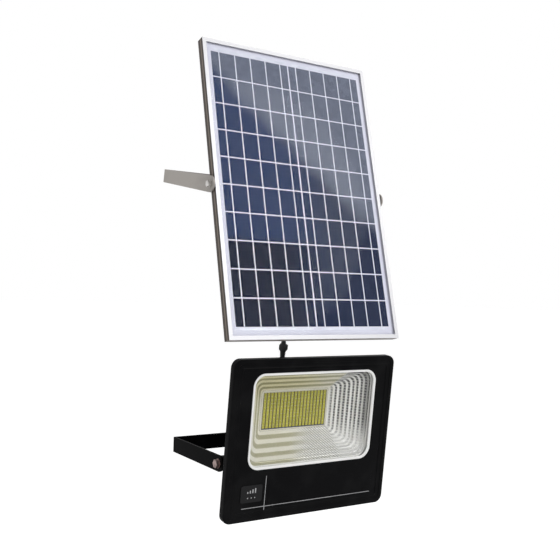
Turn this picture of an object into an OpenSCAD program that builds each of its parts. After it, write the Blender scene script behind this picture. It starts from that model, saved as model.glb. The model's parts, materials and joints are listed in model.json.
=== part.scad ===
// Solar flood light: a framed solar panel on its own bracket, a flood lamp on a second bracket,
// and a 5 m lead with a screw connector between them. Millimetres, +Z up, -Y towards the viewer.
// Origin: centre of the rear face of the lamp bracket's base. The wall is the plane Y = 0.

/* [Lamp] */
// Width of the lamp's front frame
lamp_w = 340; // [320:1:350]
// Height of the lamp's front frame
lamp_h = 280; // [270:1:300]
// Corner radius of the front frame
lamp_r = 15; // [10:1:20]
// How far the lamp faces down, in degrees
lamp_down = 6; // [0:1:12]
// Depth of the lamp's pivot behind its front face
lamp_pivot_d = 34; // [32:1:38]
// Height of the lamp's centre above its pivot
lamp_pivot_h = 44; // [40:1:48]
// From the lamp's pivot to the back of its bracket
lamp_arm = 180; // [178:1:200]
// Columns of light chips
chip_cols = 19; // [15:1:21]

/* [Solar panel] */
// Width of the panel
panel_w = 350; // [345:1:355]
// Height of the panel
panel_h = 530; // [528:1:534]
// Depth of the panel's frame
panel_d = 17; // [17:1:18]
// How far the panel faces up, in degrees
panel_up = 14; // [12:1:18]
// Height of the panel's pivot above the lamp's pivot
panel_rise = 469; // [469:1:475]
// Sideways place of the panel's centre
panel_x = -24; // [-30:1:-20]
// From the panel's pivot to the back of its bracket
panel_arm = 190; // [188:1:200]
// How far the panel bracket's arms climb, in degrees
bracket_rise = 10; // [8:1:12]

/* [Lead] */
// Diameter of the lead
lead_d = 6.5; // [6:0.1:6.6]
// Mean diameter of the lead's coil
coil_d = 76; // [72:1:78]
// Turns side by side in the coil
coil_across = 5; // [5:1:5]
// Layers of turns in the coil
coil_layers = 4; // [4:1:4]

/* [Hidden] */
$fn = 48;

// Gaps: between still pieces, round a turning shaft, and between faces that slide
gap = 0.2;
shaft_gap = 0.05;
slide_gap = 0.15;

// Lamp front: a face plate with a skirt, a window and a pocket for the display
face_t = 3.5;
skirt_d = 9;
skirt_t = 3;
window = [261, 167];
window_r = 23;
window_z = 32;
display = [42, 30];
display_at = [-118, -91];
seal_t = 0.5;
flange_d = 3.5;
flange_y = skirt_d + seal_t;
shell_y = flange_y + flange_d;
screw_inset = 5;
screw_spots = concat(
    [for (side = [-1, 1], z = [-118, -40, 40, 118]) [side * (lamp_w / 2 - screw_inset), z]],
    [for (side = [-1, 1], x = [-80, 80]) [x, side * (lamp_h / 2 - screw_inset)]]
);

// Glass and gasket
gasket_t = 1;
glass_t = 4;
glass_margin = 8;
glass_y = face_t + gasket_t;

// Light engine
board_y = 66.5;
board = [150, 78];
board_t = 1.6;
pad_t = 0.9;
chip_area = [137, 65];
chip_t = 0.8;
reflector_t = 1.2;
reflector_y = glass_y + glass_t + 0.7;

// Rear housing: a shell that narrows to its finned back
back_y = board_y + board_t + pad_t + 4;
wall = 3;
front_half = [lamp_w / 2 - 11, lamp_h / 2 - 11];
back_half_w = 119;
back_top = 90;
back_bottom = -126;
fin_h = 11;
fin_t = 2.4;
fin_pitch = 13.5;
fins = 17;
fin_z = [-38, 56];
pivot_boss_r = 13;
pivot_bolt_r = 4;

// Battery bay
cell_r = 13;
cell_l = 65;
battery_z = -89;
battery_y = 38;
cover = [168, 70];
cover_t = 2.5;
cover_seal_t = 0.8;
cover_spots = [for (side = [-1, 1], dz = [-29, 0, 29]) [side * 80, battery_z + dz]];

// Cable gland in the housing's back, and the connector that stands above the lamp
gland_at = [92, 72];
gland_r = 6;
gland_l = 12;
connector_x = -50;
connector_y = 45;
boot_z = 132.5;
socket_z = 144.6;
collar_z = 145.6;
collar_h = 12;
plug_z = 151.4;
plug_top = 162;
lead_r = lead_d / 2;

// Brackets
arm_w = 28;
lamp_strip_t = 3;
lamp_strip_in = lamp_w / 2 - 2.5 - lamp_strip_t;
panel_strip_t = 2.5;
panel_strip_in = panel_w / 2 + 2;
panel_base_w = 24;

// Panel: rail profile as [inward, back] points, and the layers behind its front lip
rail = [
    [0, 0], [7, 0], [7, 1.2], [1.6, 1.2], [1.6, 5.6], [9, 5.6], [9, 6.8],
    [1.6, 6.8], [1.6, 15.8], [15, 15.8], [15, panel_d], [0, panel_d]
];
panel_pivot_d = 11;
laminate_inset = 2.6;
pv_glass_y = 1.25;
pv_glass_t = 3.1;
ribbon_t = 0.15;
cell_t = 0.25;
sheet_t = 0.6;
cell = [157, 46.6];
cell_gap = [3, 2.3];
cell_rows = 10;
cell_z = 0.6;
busbars = 5;
busbar_pitch = 31.4;

// Junction box, with its lead along the panel's tilt axis
box_w = 70;
box_h = 60;
box_back = 23;
box_t = 2;
boot_l = 15;
jbox_y = pv_glass_y + pv_glass_t + ribbon_t + cell_t + sheet_t + 0.05;

// Lead: the coil is tied to a tie mount on the wall, behind the panel
coil_at = [-12, -24.25, 464];
coil_half = [coil_layers * lead_d / 2, coil_across * lead_d / 2];
tie_w = 4.8;
tie_t = 1.2;
upper_route = [
    [-74.7, -189.2, 469], [-84, -189.2, 469], [-97, -187, 467], [-110, -180, 463],
    [-120, -167, 457], [-127, -150, 450], [-130, -131, 443], [-129, -111, 436],
    [-124, -91, 429], [-115, -72, 423], [-102, -55.5, 419], [-86, -43.5, 417],
    [-68, -35.5, 416.3], [-50, -31.8, 416.2], [-34, -30.8, 416.2], [-20, -30.75, 416.2]
];
// The lamp's own lead, in the lamp's frame: out of the gland, round a slack loop, up to the boot
lamp_lead_route = [
    [92, 74, 72], [92, 85, 72], [92, 93.5, 71], [91.7, 101, 67], [90.4, 106, 60],
    [87.1, 108.5, 51], [79.8, 108.5, 41], [65.9, 107, 33], [46.3, 104.5, 28.5],
    [23.4, 101.5, 27.5], [0.6, 98.5, 30], [-19, 96, 36], [-33.7, 94.5, 46], [-43.5, 93.5, 58],
    [-48.4, 91.5, 71], [-50, 87, 83], [-50, 79, 92], [-50, 69, 99.5], [-50, 59.5, 107],
    [-50, 51.5, 115], [-50, 46.6, 123.5], [-50, 45.25, 130.6]
];
drop_route = [
    [-40.2, -43.5, 460], [-40.3, -44.3, 448], [-40.6, -45.6, 435], [-41.4, -48, 420],
    [-42.7, -51.8, 403], [-44.4, -57, 386], [-46.3, -64, 369], [-48, -73, 352],
    [-49.2, -84, 336], [-49.8, -97, 321], [-50, -111, 307], [-50, -126, 293.5],
    [-50, -141, 280.5], [-50, -155, 268], [-50, -168, 254.5], [-50, -178.5, 241],
    [-50, -186, 227.5], [-50, -189.8, 215.5], [-50, -190.65, 206.9]
];

panel_pivot = [
    panel_x,
    -panel_arm * cos(bracket_rise) - panel_base_w / 2 * sin(bracket_rise),
    panel_rise
];

// ---- Frames of the sub-assemblies ----

// The lamp's own frame: origin in the middle of its front face, +Y into the lamp
module in_lamp() {
    translate([0, -lamp_arm, 0]) rotate([lamp_down, 0, 0])
        translate([0, -lamp_pivot_d, lamp_pivot_h]) children();
}

// The panel's own frame: origin in the middle of its front face, +Y into the panel
module in_panel() {
    translate(panel_pivot) rotate([-panel_up, 0, 0]) translate([0, -panel_pivot_d, 0]) children();
}

// The panel bracket's frame: origin on the tilt axis, +Y along the arms
module in_panel_bracket() {
    translate(panel_pivot) rotate([bracket_rise, 0, 0]) children();
}

// ---- Shared shapes ----

// Rectangle with rounded corners, centred
module rounded(size, r) {
    square([size[0] - 2 * r, size[1]], center = true);
    square([size[0], size[1] - 2 * r], center = true);
    for (x = [-1, 1], y = [-1, 1])
        translate([x * (size[0] / 2 - r), y * (size[1] / 2 - r)]) circle(r);
}

// A flat shape drawn in X and Z, as a plate from depth y over a thickness t
module plate(y, t) {
    translate([0, y + t, 0]) rotate([90, 0, 0]) linear_extrude(t) children();
}

// A rod along Y
module rod_y(r, y, l) {
    translate([0, y + l, 0]) rotate([90, 0, 0]) cylinder(r = r, h = l);
}

// A rod along X from x over a length l
module rod_x(r, x, l) {
    translate([x, 0, 0]) rotate([0, 90, 0]) cylinder(r = r, h = l);
}

// A hexagon bolt head along X
module hex_x(flats, x, l) {
    translate([x, 0, 0]) rotate([0, 90, 0]) rotate([0, 0, 30])
        cylinder(r = flats / 2 / cos(30), h = l, $fn = 6);
}

// Both sides, mirrored in X
module both_sides() {
    children();
    mirror([1, 0, 0]) children();
}

function unit(v) = v / norm(v);
function tangent(p, i) = unit(p[min(i + 1, len(p) - 1)] - p[max(i - 1, 0)]);
function ring(p, i, r, side, n) =
    let (t = tangent(p, i), u = unit(cross(t, side)), v = cross(t, u))
    [for (k = [0:n - 1]) p[i] + r * (cos(360 * k / n) * u + sin(360 * k / n) * v)];

// A tube swept along route points; side is a direction that the route never takes
module tube(p, r, side, n = 10) {
    last = len(p) - 1;
    polyhedron(
        points = [for (i = [0:last]) each ring(p, i, r, side, n)],
        faces = concat(
            [[for (k = [0:n - 1]) k]],
            [[for (k = [n - 1:-1:0]) last * n + k]],
            [for (i = [0:last - 1], k = [0:n - 1])
                [i * n + k, (i + 1) * n + k, (i + 1) * n + (k + 1) % n]],
            [for (i = [0:last - 1], k = [0:n - 1])
                [i * n + k, (i + 1) * n + (k + 1) % n, i * n + (k + 1) % n]]
        )
    );
}

// ---- Lamp: front ----

module lamp_front_frame() {
    color("#16171a") in_lamp() difference() {
        union() {
            plate(0, face_t) rounded([lamp_w, lamp_h], lamp_r);
            plate(0, skirt_d) difference() {
                rounded([lamp_w, lamp_h], lamp_r);
                rounded([lamp_w - 2 * skirt_t, lamp_h - 2 * skirt_t], lamp_r - skirt_t);
            }
            for (s = screw_spots) translate([s[0], 0, s[1]]) rod_y(4.8, 1, skirt_d - 1);
        }
        plate(-1, face_t + 2) translate([0, window_z]) rounded(window, window_r);
        plate(-1, 2.4) translate(display_at) rounded(display + [gap, gap] * 2, 4);
        plate(-1, face_t + 2) translate(display_at) rounded(display - [8, 8], 3);
        for (s = screw_spots) translate([s[0], 0, s[1]]) rod_y(2 + shaft_gap, 2.4, skirt_d);
    }
}

module display_window() {
    color("#2b2d33") in_lamp() plate(0, 1.4) translate(display_at) rounded(display, 4);
}

module front_glass() {
    color([0.85, 0.93, 0.95, 0.35]) in_lamp() plate(glass_y, glass_t) translate([0, window_z])
        rounded(window + 2 * [glass_margin, glass_margin], window_r + 3);
}

module glass_gasket() {
    color("#202020") in_lamp() for (y = [face_t, glass_y + glass_t])
        plate(y, y == face_t ? gasket_t : 0.7) translate([0, window_z]) difference() {
            rounded(window + 2 * [glass_margin, glass_margin], window_r + 3);
            rounded(window + [3, 3], window_r + 1);
        }
}

// ---- Lamp: light engine ----

module reflector_tray(grow, y0, y1) {
    hull() {
        plate(y0, 0.1) translate([0, window_z])
            rounded(window - [3, 3] + 2 * [grow, grow], window_r, $fn = 32);
        plate(y1 - 0.1, 0.1) translate([0, window_z])
            rounded(board - [4, 4] + 2 * [grow, grow], 6, $fn = 32);
    }
}

module reflector() {
    color("#e8eaec") in_lamp() difference() {
        union() {
            plate(reflector_y, reflector_t) translate([0, window_z])
                rounded(window + [12, 12], window_r + 2);
            reflector_tray(reflector_t, reflector_y, board_y);
        }
        reflector_tray(0, reflector_y - 0.01, board_y + 0.01);
    }
}

module led_board() {
    color("#e6e6df") in_lamp() plate(board_y, board_t) translate([0, window_z]) rounded(board, 2);
}

module led_chips() {
    pitch = chip_area[0] / chip_cols;
    color("#d8d24a") in_lamp() for (i = [0:chip_cols - 1])
        plate(board_y - chip_t, chip_t)
            translate([(i - (chip_cols - 1) / 2) * pitch, window_z])
                square([pitch * 0.62, chip_area[1]], center = true);
}

module thermal_pad() {
    color("#b9bcc0") in_lamp() plate(board_y + board_t, pad_t) translate([0, window_z])
        square(board - [2, 2], center = true);
}

// ---- Lamp: rear housing ----

// The shell's outer or inner form: inset is 0 outside and the wall's thickness inside
module shell_form(inset, y0, y1) {
    back_h = back_top - back_bottom;
    hull() {
        plate(y0, 0.1) rounded(2 * (front_half - [inset, inset]), 12 - inset, $fn = 32);
        plate(y1 - 0.1, 0.1) translate([0, (back_top + back_bottom) / 2])
            rounded([2 * back_half_w, back_h] - 2 * [inset, inset], 10 - inset, $fn = 32);
    }
}

module rear_housing() {
    color("#1b1c1f") in_lamp() difference() {
        union() {
            plate(flange_y, flange_d) rounded([lamp_w, lamp_h], lamp_r);
            shell_form(0, shell_y - 0.5, back_y);
            for (i = [0:fins - 1])
                translate([(i - (fins - 1) / 2) * fin_pitch - fin_t / 2, back_y - 1, fin_z[0]])
                    cube([fin_t, fin_h + 1, fin_z[1] - fin_z[0]]);
            both_sides() translate([0, lamp_pivot_d, -lamp_pivot_h])
                rod_x(pivot_boss_r, 130, lamp_strip_in - slide_gap - 130);
        }
        shell_form(wall, flange_y - 0.5, back_y - 4);
        both_sides() translate([0, lamp_pivot_d, -lamp_pivot_h])
            rod_x(pivot_bolt_r + shaft_gap, 144, 40);
        translate([gland_at[0], 0, gland_at[1]]) rod_y(gland_r, back_y - 8, 20);
        for (s = screw_spots) translate([s[0], 0, s[1]]) rod_y(2.2, flange_y - 1, 8);
        plate(back_y - 6, 10) translate([0, battery_z]) rounded([146, 56], 5);
        for (s = cover_spots) translate([s[0], 0, s[1]]) rod_y(1.5 + shaft_gap, back_y - 6, 10);
    }
}

module housing_seal() {
    color("#26262a") in_lamp() plate(skirt_d, seal_t) difference() {
        rounded([lamp_w - 2 * screw_inset - 12, lamp_h - 2 * screw_inset - 12], lamp_r);
        rounded([lamp_w - 2 * screw_inset - 18, lamp_h - 2 * screw_inset - 18], lamp_r - 3);
    }
}

module frame_screws() {
    color("#c9ccd0") in_lamp() for (s = screw_spots) translate([s[0], 0, s[1]]) {
        rod_y(2, 3, shell_y - 3 + 0.01);
        difference() {
            rod_y(3.6, shell_y, 2.6);
            translate([-3, shell_y + 1.6, -0.6]) cube([6, 2, 1.2]);
            translate([-0.6, shell_y + 1.6, -3]) cube([1.2, 2, 6]);
        }
    }
}

// ---- Lamp: battery bay and electronics ----

module battery_cells() {
    color("#2f6fb5") in_lamp() for (col = [-1, 1], row = [-1, 1])
        translate([col > 0 ? 0.6 : -0.6 - cell_l, battery_y, battery_z + row * (cell_r + 0.25)]) {
            rod_x(cell_r, 0, cell_l);
            rod_x(4, cell_l - 0.01, 0.3);
        }
}

module battery_holder() {
    half_w = cell_l + 2;
    color("#33363b") in_lamp() translate([0, battery_y, battery_z]) {
        for (end = [-1, 1])
            translate([end > 0 ? half_w : -half_w - 2.5, -cell_r - 1, -2 * cell_r - 1])
                cube([2.5, 2 * cell_r + 2, 4 * cell_r + 2]);
        translate([-half_w, -cell_r - 3.4, -2 * cell_r - 1]) cube([2 * half_w, 2.2, 4 * cell_r + 2]);
    }
}

module controller_board() {
    color("#1f6b3a") in_lamp() plate(24, board_t) translate([105, battery_z])
        difference() {
            square([58, 50], center = true);
            for (x = [-1, 1], y = [-1, 1]) translate([x * 25, y * 21]) circle(1.6);
        }
}

module controller_parts() {
    color("#3a3d42") in_lamp() translate([105, 24, battery_z]) {
        translate([-16, -9, 8]) rod_y(8, 0, 8.8);
        translate([10, -12, 12]) rod_y(5, 0, 11.8);
        translate([-22, -6, -20]) cube([24, 5.8, 9]);
        translate([8, -2, -18]) cube([12, 1.8, 12]);
    }
}

module display_board() {
    color("#1f6b3a") in_lamp() plate(face_t + 1, board_t) translate(display_at)
        square([50, 34], center = true);
}

module battery_cover() {
    color("#1b1c1f") in_lamp() difference() {
        plate(back_y + cover_seal_t, cover_t) translate([0, battery_z]) rounded(cover, 8);
        for (s = cover_spots) translate([s[0], 0, s[1]]) rod_y(1.7, back_y, 6);
    }
}

module battery_cover_seal() {
    color("#26262a") in_lamp() plate(back_y, cover_seal_t) translate([0, battery_z]) difference() {
        rounded([154, 63], 8);
        rounded([148, 58], 6);
    }
}

module battery_cover_screws() {
    color("#c9ccd0") in_lamp() for (s = cover_spots) translate([s[0], 0, s[1]]) {
        head_y = back_y + cover_seal_t + cover_t;
        rod_y(1.5, back_y - 5, head_y - back_y + 5.01);
        difference() {
            rod_y(2.8, head_y, 2);
            translate([-2.4, head_y + 1.2, -0.5]) cube([4.8, 2, 1]);
            translate([-0.5, head_y + 1.2, -2.4]) cube([1, 2, 4.8]);
        }
    }
}

// ---- Lamp: cable gland, lead and connector ----

module at_gland() {
    in_lamp() translate([gland_at[0], back_y, gland_at[1]]) rotate([-90, 0, 0]) children();
}

module at_connector() {
    in_lamp() translate([connector_x, connector_y, 0]) children();
}

module cable_gland_body() {
    color("#1d1d1f") at_gland() difference() {
        union() {
            translate([0, 0, -9]) cylinder(r = gland_r - shaft_gap, h = 9.2);
            translate([0, 0, 0.1]) cylinder(r = 8 / cos(30), h = 4, $fn = 6);
            translate([0, 0, 4]) cylinder(r = 5.2, h = 2.4);
        }
        translate([0, 0, -12]) cylinder(r = lead_r + gap, h = 40);
    }
}

module cable_gland_seal() {
    color("#3a3a3a") at_gland() translate([0, 0, 6.6]) difference() {
        cylinder(r = 5, h = 2.6);
        translate([0, 0, -1]) cylinder(r = lead_r + 0.05, h = 6);
    }
}

module cable_gland_nut() {
    color("#1d1d1f") at_gland() translate([0, 0, 4.3]) difference() {
        union() {
            cylinder(r = 8 / cos(30), h = 5, $fn = 6);
            translate([0, 0, 5]) cylinder(r1 = 7.4, r2 = 5.6, h = gland_l - 9.3);
        }
        translate([0, 0, -1]) cylinder(r = 5.3, h = 6);
        translate([0, 0, 4]) cylinder(r = lead_r + gap, h = 9);
    }
}

module lamp_lead() {
    color("#151515") in_lamp() tube(lamp_lead_route, lead_r, unit([1, 0.3, 0.25]));
}

module connector_socket() {
    color("#1a1a1a") at_connector() difference() {
        union() {
            translate([0, 0, boot_z]) cylinder(r1 = 4.5, r2 = 5.2, h = socket_z - boot_z);
            translate([0, 0, socket_z - 0.01]) cylinder(r = 5.7, h = 5.4);
        }
        translate([0, 0, boot_z - 1]) cylinder(r = lead_r + 0.05, h = 13);
    }
}

module connector_seal() {
    color("#8c3b2e") at_connector() translate([0, 0, socket_z + 5.5]) difference() {
        cylinder(r = 5.4, h = 1.2);
        translate([0, 0, -1]) cylinder(r = 4, h = 4);
    }
}

module connector_plug() {
    nose = 4.9;
    color("#1a1a1a") at_connector() {
        translate([0, 0, plug_z]) cylinder(r = 5.8, h = nose);
        translate([0, 0, plug_z + nose - 0.1])
            cylinder(r1 = 4.6, r2 = 3.75, h = plug_top - plug_z - nose + 0.1);
    }
}

module connector_collar() {
    color("#1a1a1a") at_connector() translate([0, 0, collar_z]) difference() {
        union() {
            cylinder(r = 7.5, h = collar_h);
            translate([5, -1.6, 1]) cube([4.3, 3.2, collar_h - 2.5]);
        }
        translate([0, 0, -1]) cylinder(r = 6.1, h = collar_h - 0.1);
        cylinder(r = 4.95, h = collar_h + 1);
    }
}

// ---- Lamp bracket ----

module lamp_bracket() {
    half = lamp_strip_in;
    color("#17181a") translate([0, -lamp_arm, 0]) difference() {
        union() {
            both_sides() {
                rod_x(arm_w / 2, half, lamp_strip_t);
                translate([half, 0, -arm_w / 2]) cube([lamp_strip_t, lamp_arm, arm_w]);
            }
            translate([-half - 1, lamp_arm - lamp_strip_t, -arm_w / 2])
                cube([2 * half + 2, lamp_strip_t, arm_w]);
        }
        both_sides() rod_x(pivot_bolt_r + shaft_gap, half - 1, lamp_strip_t + 2);
        rod_y(5.25, lamp_arm - 10, 20);
        for (x = [-50, 50]) translate([x, 0, 0]) rod_y(4.25, lamp_arm - 10, 20);
    }
}

module lamp_pivot_bolts() {
    out = lamp_strip_in + lamp_strip_t + slide_gap + 1.6;
    color("#c4c7cb") in_lamp() both_sides() translate([0, lamp_pivot_d, -lamp_pivot_h]) {
        rod_x(pivot_bolt_r, 146, out - 146 + 0.01);
        hex_x(13, out, 5.3);
    }
}

module lamp_pivot_washers() {
    color("#b9bcc1") in_lamp() both_sides() translate([0, lamp_pivot_d, -lamp_pivot_h])
        difference() {
            rod_x(8, lamp_strip_in + lamp_strip_t + slide_gap, 1.55);
            rod_x(pivot_bolt_r + gap, lamp_strip_in, 8);
        }
}

// ---- Solar panel ----

// One frame rail along X, its outer face at Z = 0 and its inside towards +Z, mitred at both ends
module frame_rail(l) {
    intersection() {
        rotate([90, 0, 90]) translate([0, 0, -l / 2]) linear_extrude(l)
            polygon([for (p = rail) [p[1], p[0]]]);
        plate(-1, panel_d + 2)
            polygon([[-l / 2, 0], [l / 2, 0], [l / 2 - 20, 20], [-l / 2 + 20, 20]]);
    }
}

module side_rail() {
    difference() {
        rotate([0, 90, 0]) translate([0, 0, -panel_w / 2]) frame_rail(panel_h);
        translate([0, panel_pivot_d, 0]) rod_x(3 + shaft_gap, -panel_w, panel_w);
    }
}

module panel_frame_top() {
    color("#d5d8db") in_panel() rotate([0, 180, 0]) translate([0, 0, -panel_h / 2])
        frame_rail(panel_w);
}

module panel_frame_bottom() {
    color("#d5d8db") in_panel() translate([0, 0, -panel_h / 2]) frame_rail(panel_w);
}

module panel_frame_left() {
    color("#d5d8db") in_panel() side_rail();
}

module panel_frame_right() {
    color("#d5d8db") in_panel() mirror([1, 0, 0]) side_rail();
}

module panel_corner_keys() {
    leg = 26;
    color("#9fa3a8") in_panel() for (x = [-1, 1], z = [-1, 1])
        translate([x * (panel_w / 2 - 1.7), 0, z * (panel_h / 2 - 1.7)]) {
            translate([x > 0 ? -2 : 0, 7.2, z > 0 ? -leg : 0]) cube([2, 8, leg]);
            translate([x > 0 ? -leg : 0, 7.2, z > 0 ? -2 : 0]) cube([leg, 8, 2]);
        }
}

module laminate(inset) {
    square([panel_w - 2 * inset, panel_h - 2 * inset], center = true);
}

module panel_glass() {
    color([0.8, 0.88, 0.92, 0.35]) in_panel() plate(pv_glass_y, pv_glass_t) laminate(laminate_inset);
}

// Calls its children at each cell's place
module at_cells() {
    for (col = [-1, 1], row = [0:cell_rows - 1])
        translate([
            col * (cell[0] + cell_gap[0]) / 2,
            cell_z + (row - (cell_rows - 1) / 2) * (cell[1] + cell_gap[1])
        ]) children();
}

module solar_cells() {
    color("#1d2a52") in_panel() plate(pv_glass_y + pv_glass_t + ribbon_t, cell_t)
        at_cells() square(cell, center = true);
}

module cell_ribbons() {
    run = cell_rows * (cell[1] + cell_gap[1]) + 6;
    color("#dfe3e6") in_panel() plate(pv_glass_y + pv_glass_t, ribbon_t) {
        for (col = [-1, 1], i = [0:busbars - 1])
            translate([
                col * (cell[0] + cell_gap[0]) / 2 + (i - (busbars - 1) / 2) * busbar_pitch, cell_z
            ]) square([2, run], center = true);
        for (col = [-1, 1], end = [-1, 1])
            translate([col * (cell[0] + cell_gap[0]) / 2, cell_z + end * run / 2])
                square([cell[0] - 14, 4], center = true);
    }
}

module backsheet() {
    color("#eceef0") in_panel()
        plate(pv_glass_y + pv_glass_t + ribbon_t + cell_t, sheet_t) laminate(laminate_inset);
}

module laminate_seal() {
    color("#e9e9e9") in_panel() plate(pv_glass_y, 4) difference() {
        laminate(1.7);
        laminate(laminate_inset - 0.05);
    }
}

// ---- Junction box ----

module junction_box() {
    color("#1c1c1e") in_panel() difference() {
        plate(jbox_y, box_back - 2 - jbox_y) rounded([box_w, box_h], 5);
        plate(jbox_y + 2, box_back) rounded([box_w - 2 * box_t, box_h - 2 * box_t], 3);
        translate([0, panel_pivot_d, 0]) rod_x(lead_r + 0.05, -box_w / 2 - 1, 6);
    }
}

module junction_box_lid() {
    color("#1c1c1e") in_panel() {
        plate(box_back - 2, 2) rounded([box_w, box_h], 5);
        plate(box_back - 4.5, 2.55) difference() {
            rounded([box_w - 2 * box_t - 0.4, box_h - 2 * box_t - 0.4], 2.8);
            rounded([box_w - 2 * box_t - 3, box_h - 2 * box_t - 3], 2);
        }
    }
}

module junction_box_boot() {
    color("#1a1a1a") in_panel() translate([-box_w / 2 - boot_l, panel_pivot_d, 0])
        rotate([0, 90, 0]) difference() {
            union() {
                cylinder(r1 = 3.8, r2 = 4.4, h = boot_l);
                for (x = [4, 7, 10]) translate([0, 0, x]) cylinder(r = 4.5, h = 1.2);
            }
            translate([0, 0, 12]) cylinder(r = lead_r + 0.05, h = 5);
        }
}

module terminal_block() {
    color("#d9d4c8") in_panel() for (z = [-14, 14]) difference() {
        translate([-14, jbox_y + 2.1, z - 7]) cube([28, 8, 14]);
        for (x = [-7, 7]) translate([x, 0, z]) rod_y(2, jbox_y + 7, 5);
    }
}

module bypass_diode() {
    color("#2a2a2a") in_panel() translate([22, jbox_y + 5, -6]) {
        cylinder(r = 2.6, h = 12);
        translate([0, 0, -8]) cylinder(r = 0.6, h = 28);
    }
}

// ---- Panel bracket ----

module panel_arm_side() {
    out = arm_w / 2;
    base = panel_base_w / 2;
    rod_x(out, panel_strip_in, panel_strip_t);
    translate([panel_strip_in, 0, 0]) rotate([90, 0, 90]) linear_extrude(panel_strip_t)
        polygon([[0, -out], [panel_arm, -base], [panel_arm, base], [0, out]]);
}

module panel_bracket() {
    half = panel_strip_in;
    color("#a9a49d") in_panel_bracket() difference() {
        union() {
            both_sides() panel_arm_side();
            translate([-half - 1, panel_arm - panel_strip_t, -panel_base_w / 2])
                cube([2 * half + 2, panel_strip_t, panel_base_w]);
        }
        both_sides() rod_x(3 + shaft_gap, half - 1, panel_strip_t + 2);
        for (x = [-100, 100]) translate([x, 0, 0]) rod_y(4.25, panel_arm - 10, 20);
    }
}

module panel_pivot_bolts() {
    out = panel_strip_in + panel_strip_t + slide_gap + 1.6;
    color("#c4c7cb") in_panel() both_sides() translate([0, panel_pivot_d, 0]) {
        rod_x(3, panel_w / 2 - 10, out - panel_w / 2 + 10.01);
        hex_x(10, out, 4);
    }
}

module panel_pivot_washers() {
    color("#b9bcc1") in_panel() both_sides() translate([0, panel_pivot_d, 0]) difference() {
        union() {
            rod_x(6.2, panel_strip_in + panel_strip_t + slide_gap, 1.55);
            rod_x(6.2, panel_w / 2 + 0.05, 2 - slide_gap - 0.05);
        }
        rod_x(3 + gap, panel_w / 2 - 1, 12);
    }
}

module panel_rivet_nuts() {
    color("#c8b273") in_panel() both_sides() translate([0, panel_pivot_d, 0]) difference() {
        rod_x(4.1, panel_w / 2 - 11, 11 - 1.65);
        rod_x(3 + shaft_gap, panel_w / 2 - 12, 12);
    }
}

// ---- The panel's lead ----

module panel_lead_upper() {
    color("#151515") tube(upper_route, lead_r, [0, 0, 1]);
}

module panel_lead_drop() {
    color("#151515") tube(drop_route, lead_r, [1, 0, 0]);
}

module lead_coil() {
    color("#151515") translate(coil_at) rotate([90, 0, 0]) rotate_extrude()
        translate([coil_d / 2, 0]) rounded(2 * coil_half, 3.2);
}

// A loop round the coil's section, at an angle from the coil's right-hand side
module bundle_tie(angle) {
    inner = 2 * coil_half + [0.6, 0.6];
    translate(coil_at) rotate([0, angle, 0]) translate([coil_d / 2, 0, -tie_w / 2])
        linear_extrude(tie_w) difference() {
            square(inner + 2 * [tie_t, tie_t], center = true);
            square(inner, center = true);
        }
}

// The tie that holds the coil's lower side, and the tie mount on the wall that it runs through
module wall_tie() {
    low = coil_at[2] - coil_d / 2;
    size = [36.2, 2 * coil_half[0] + 1.4];
    translate([coil_at[0] - tie_w / 2, 0, 0]) rotate([90, 0, 90]) linear_extrude(tie_w)
        translate([-5 - size[0] / 2, low]) difference() {
            square(size + 2 * [tie_t, tie_t], center = true);
            square(size, center = true);
        }
    translate([coil_at[0], 0, low]) difference() {
        translate([-8, -7.3, -8]) cube([16, 7.3, 16]);
        translate([-tie_w / 2 - 0.5, -5.6, -9]) cube([tie_w + 1, 2.4, 18]);
    }
}

module coil_ties() {
    color("#202022") {
        bundle_tie(40);
        bundle_tie(-20);
        wall_tie();
    }
}

lamp_front_frame();
display_window();
front_glass();
glass_gasket();
reflector();
led_board();
led_chips();
thermal_pad();
rear_housing();
housing_seal();
frame_screws();
battery_cells();
battery_holder();
controller_board();
controller_parts();
display_board();
battery_cover();
battery_cover_seal();
battery_cover_screws();
cable_gland_body();
cable_gland_nut();
cable_gland_seal();
lamp_pivot_bolts();
lamp_pivot_washers();
lamp_bracket();
lamp_lead();
connector_socket();
connector_seal();
connector_plug();
connector_collar();
panel_frame_top();
panel_frame_bottom();
panel_frame_left();
panel_frame_right();
panel_corner_keys();
panel_glass();
solar_cells();
cell_ribbons();
backsheet();
laminate_seal();
junction_box();
junction_box_lid();
junction_box_boot();
terminal_block();
bypass_diode();
panel_pivot_bolts();
panel_pivot_washers();
panel_rivet_nuts();
panel_bracket();
panel_lead_upper();
panel_lead_drop();
lead_coil();
coil_ties();
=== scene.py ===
"""Solar flood light: the leads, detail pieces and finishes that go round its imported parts.

Metres, +Z up, -Y towards the viewer. Both brackets are bolted to a wall, the plane Y = 0.
Each sub-assembly is laid out in its own frame in millimetres, with its front face's centre as
origin, and is turned to its place on its tilt joint.
"""

import json
import logging
import math
from dataclasses import dataclass
from enum import Enum
from typing import Any, Sequence

import bmesh
import bpy
from mathutils import Matrix, Vector


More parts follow.
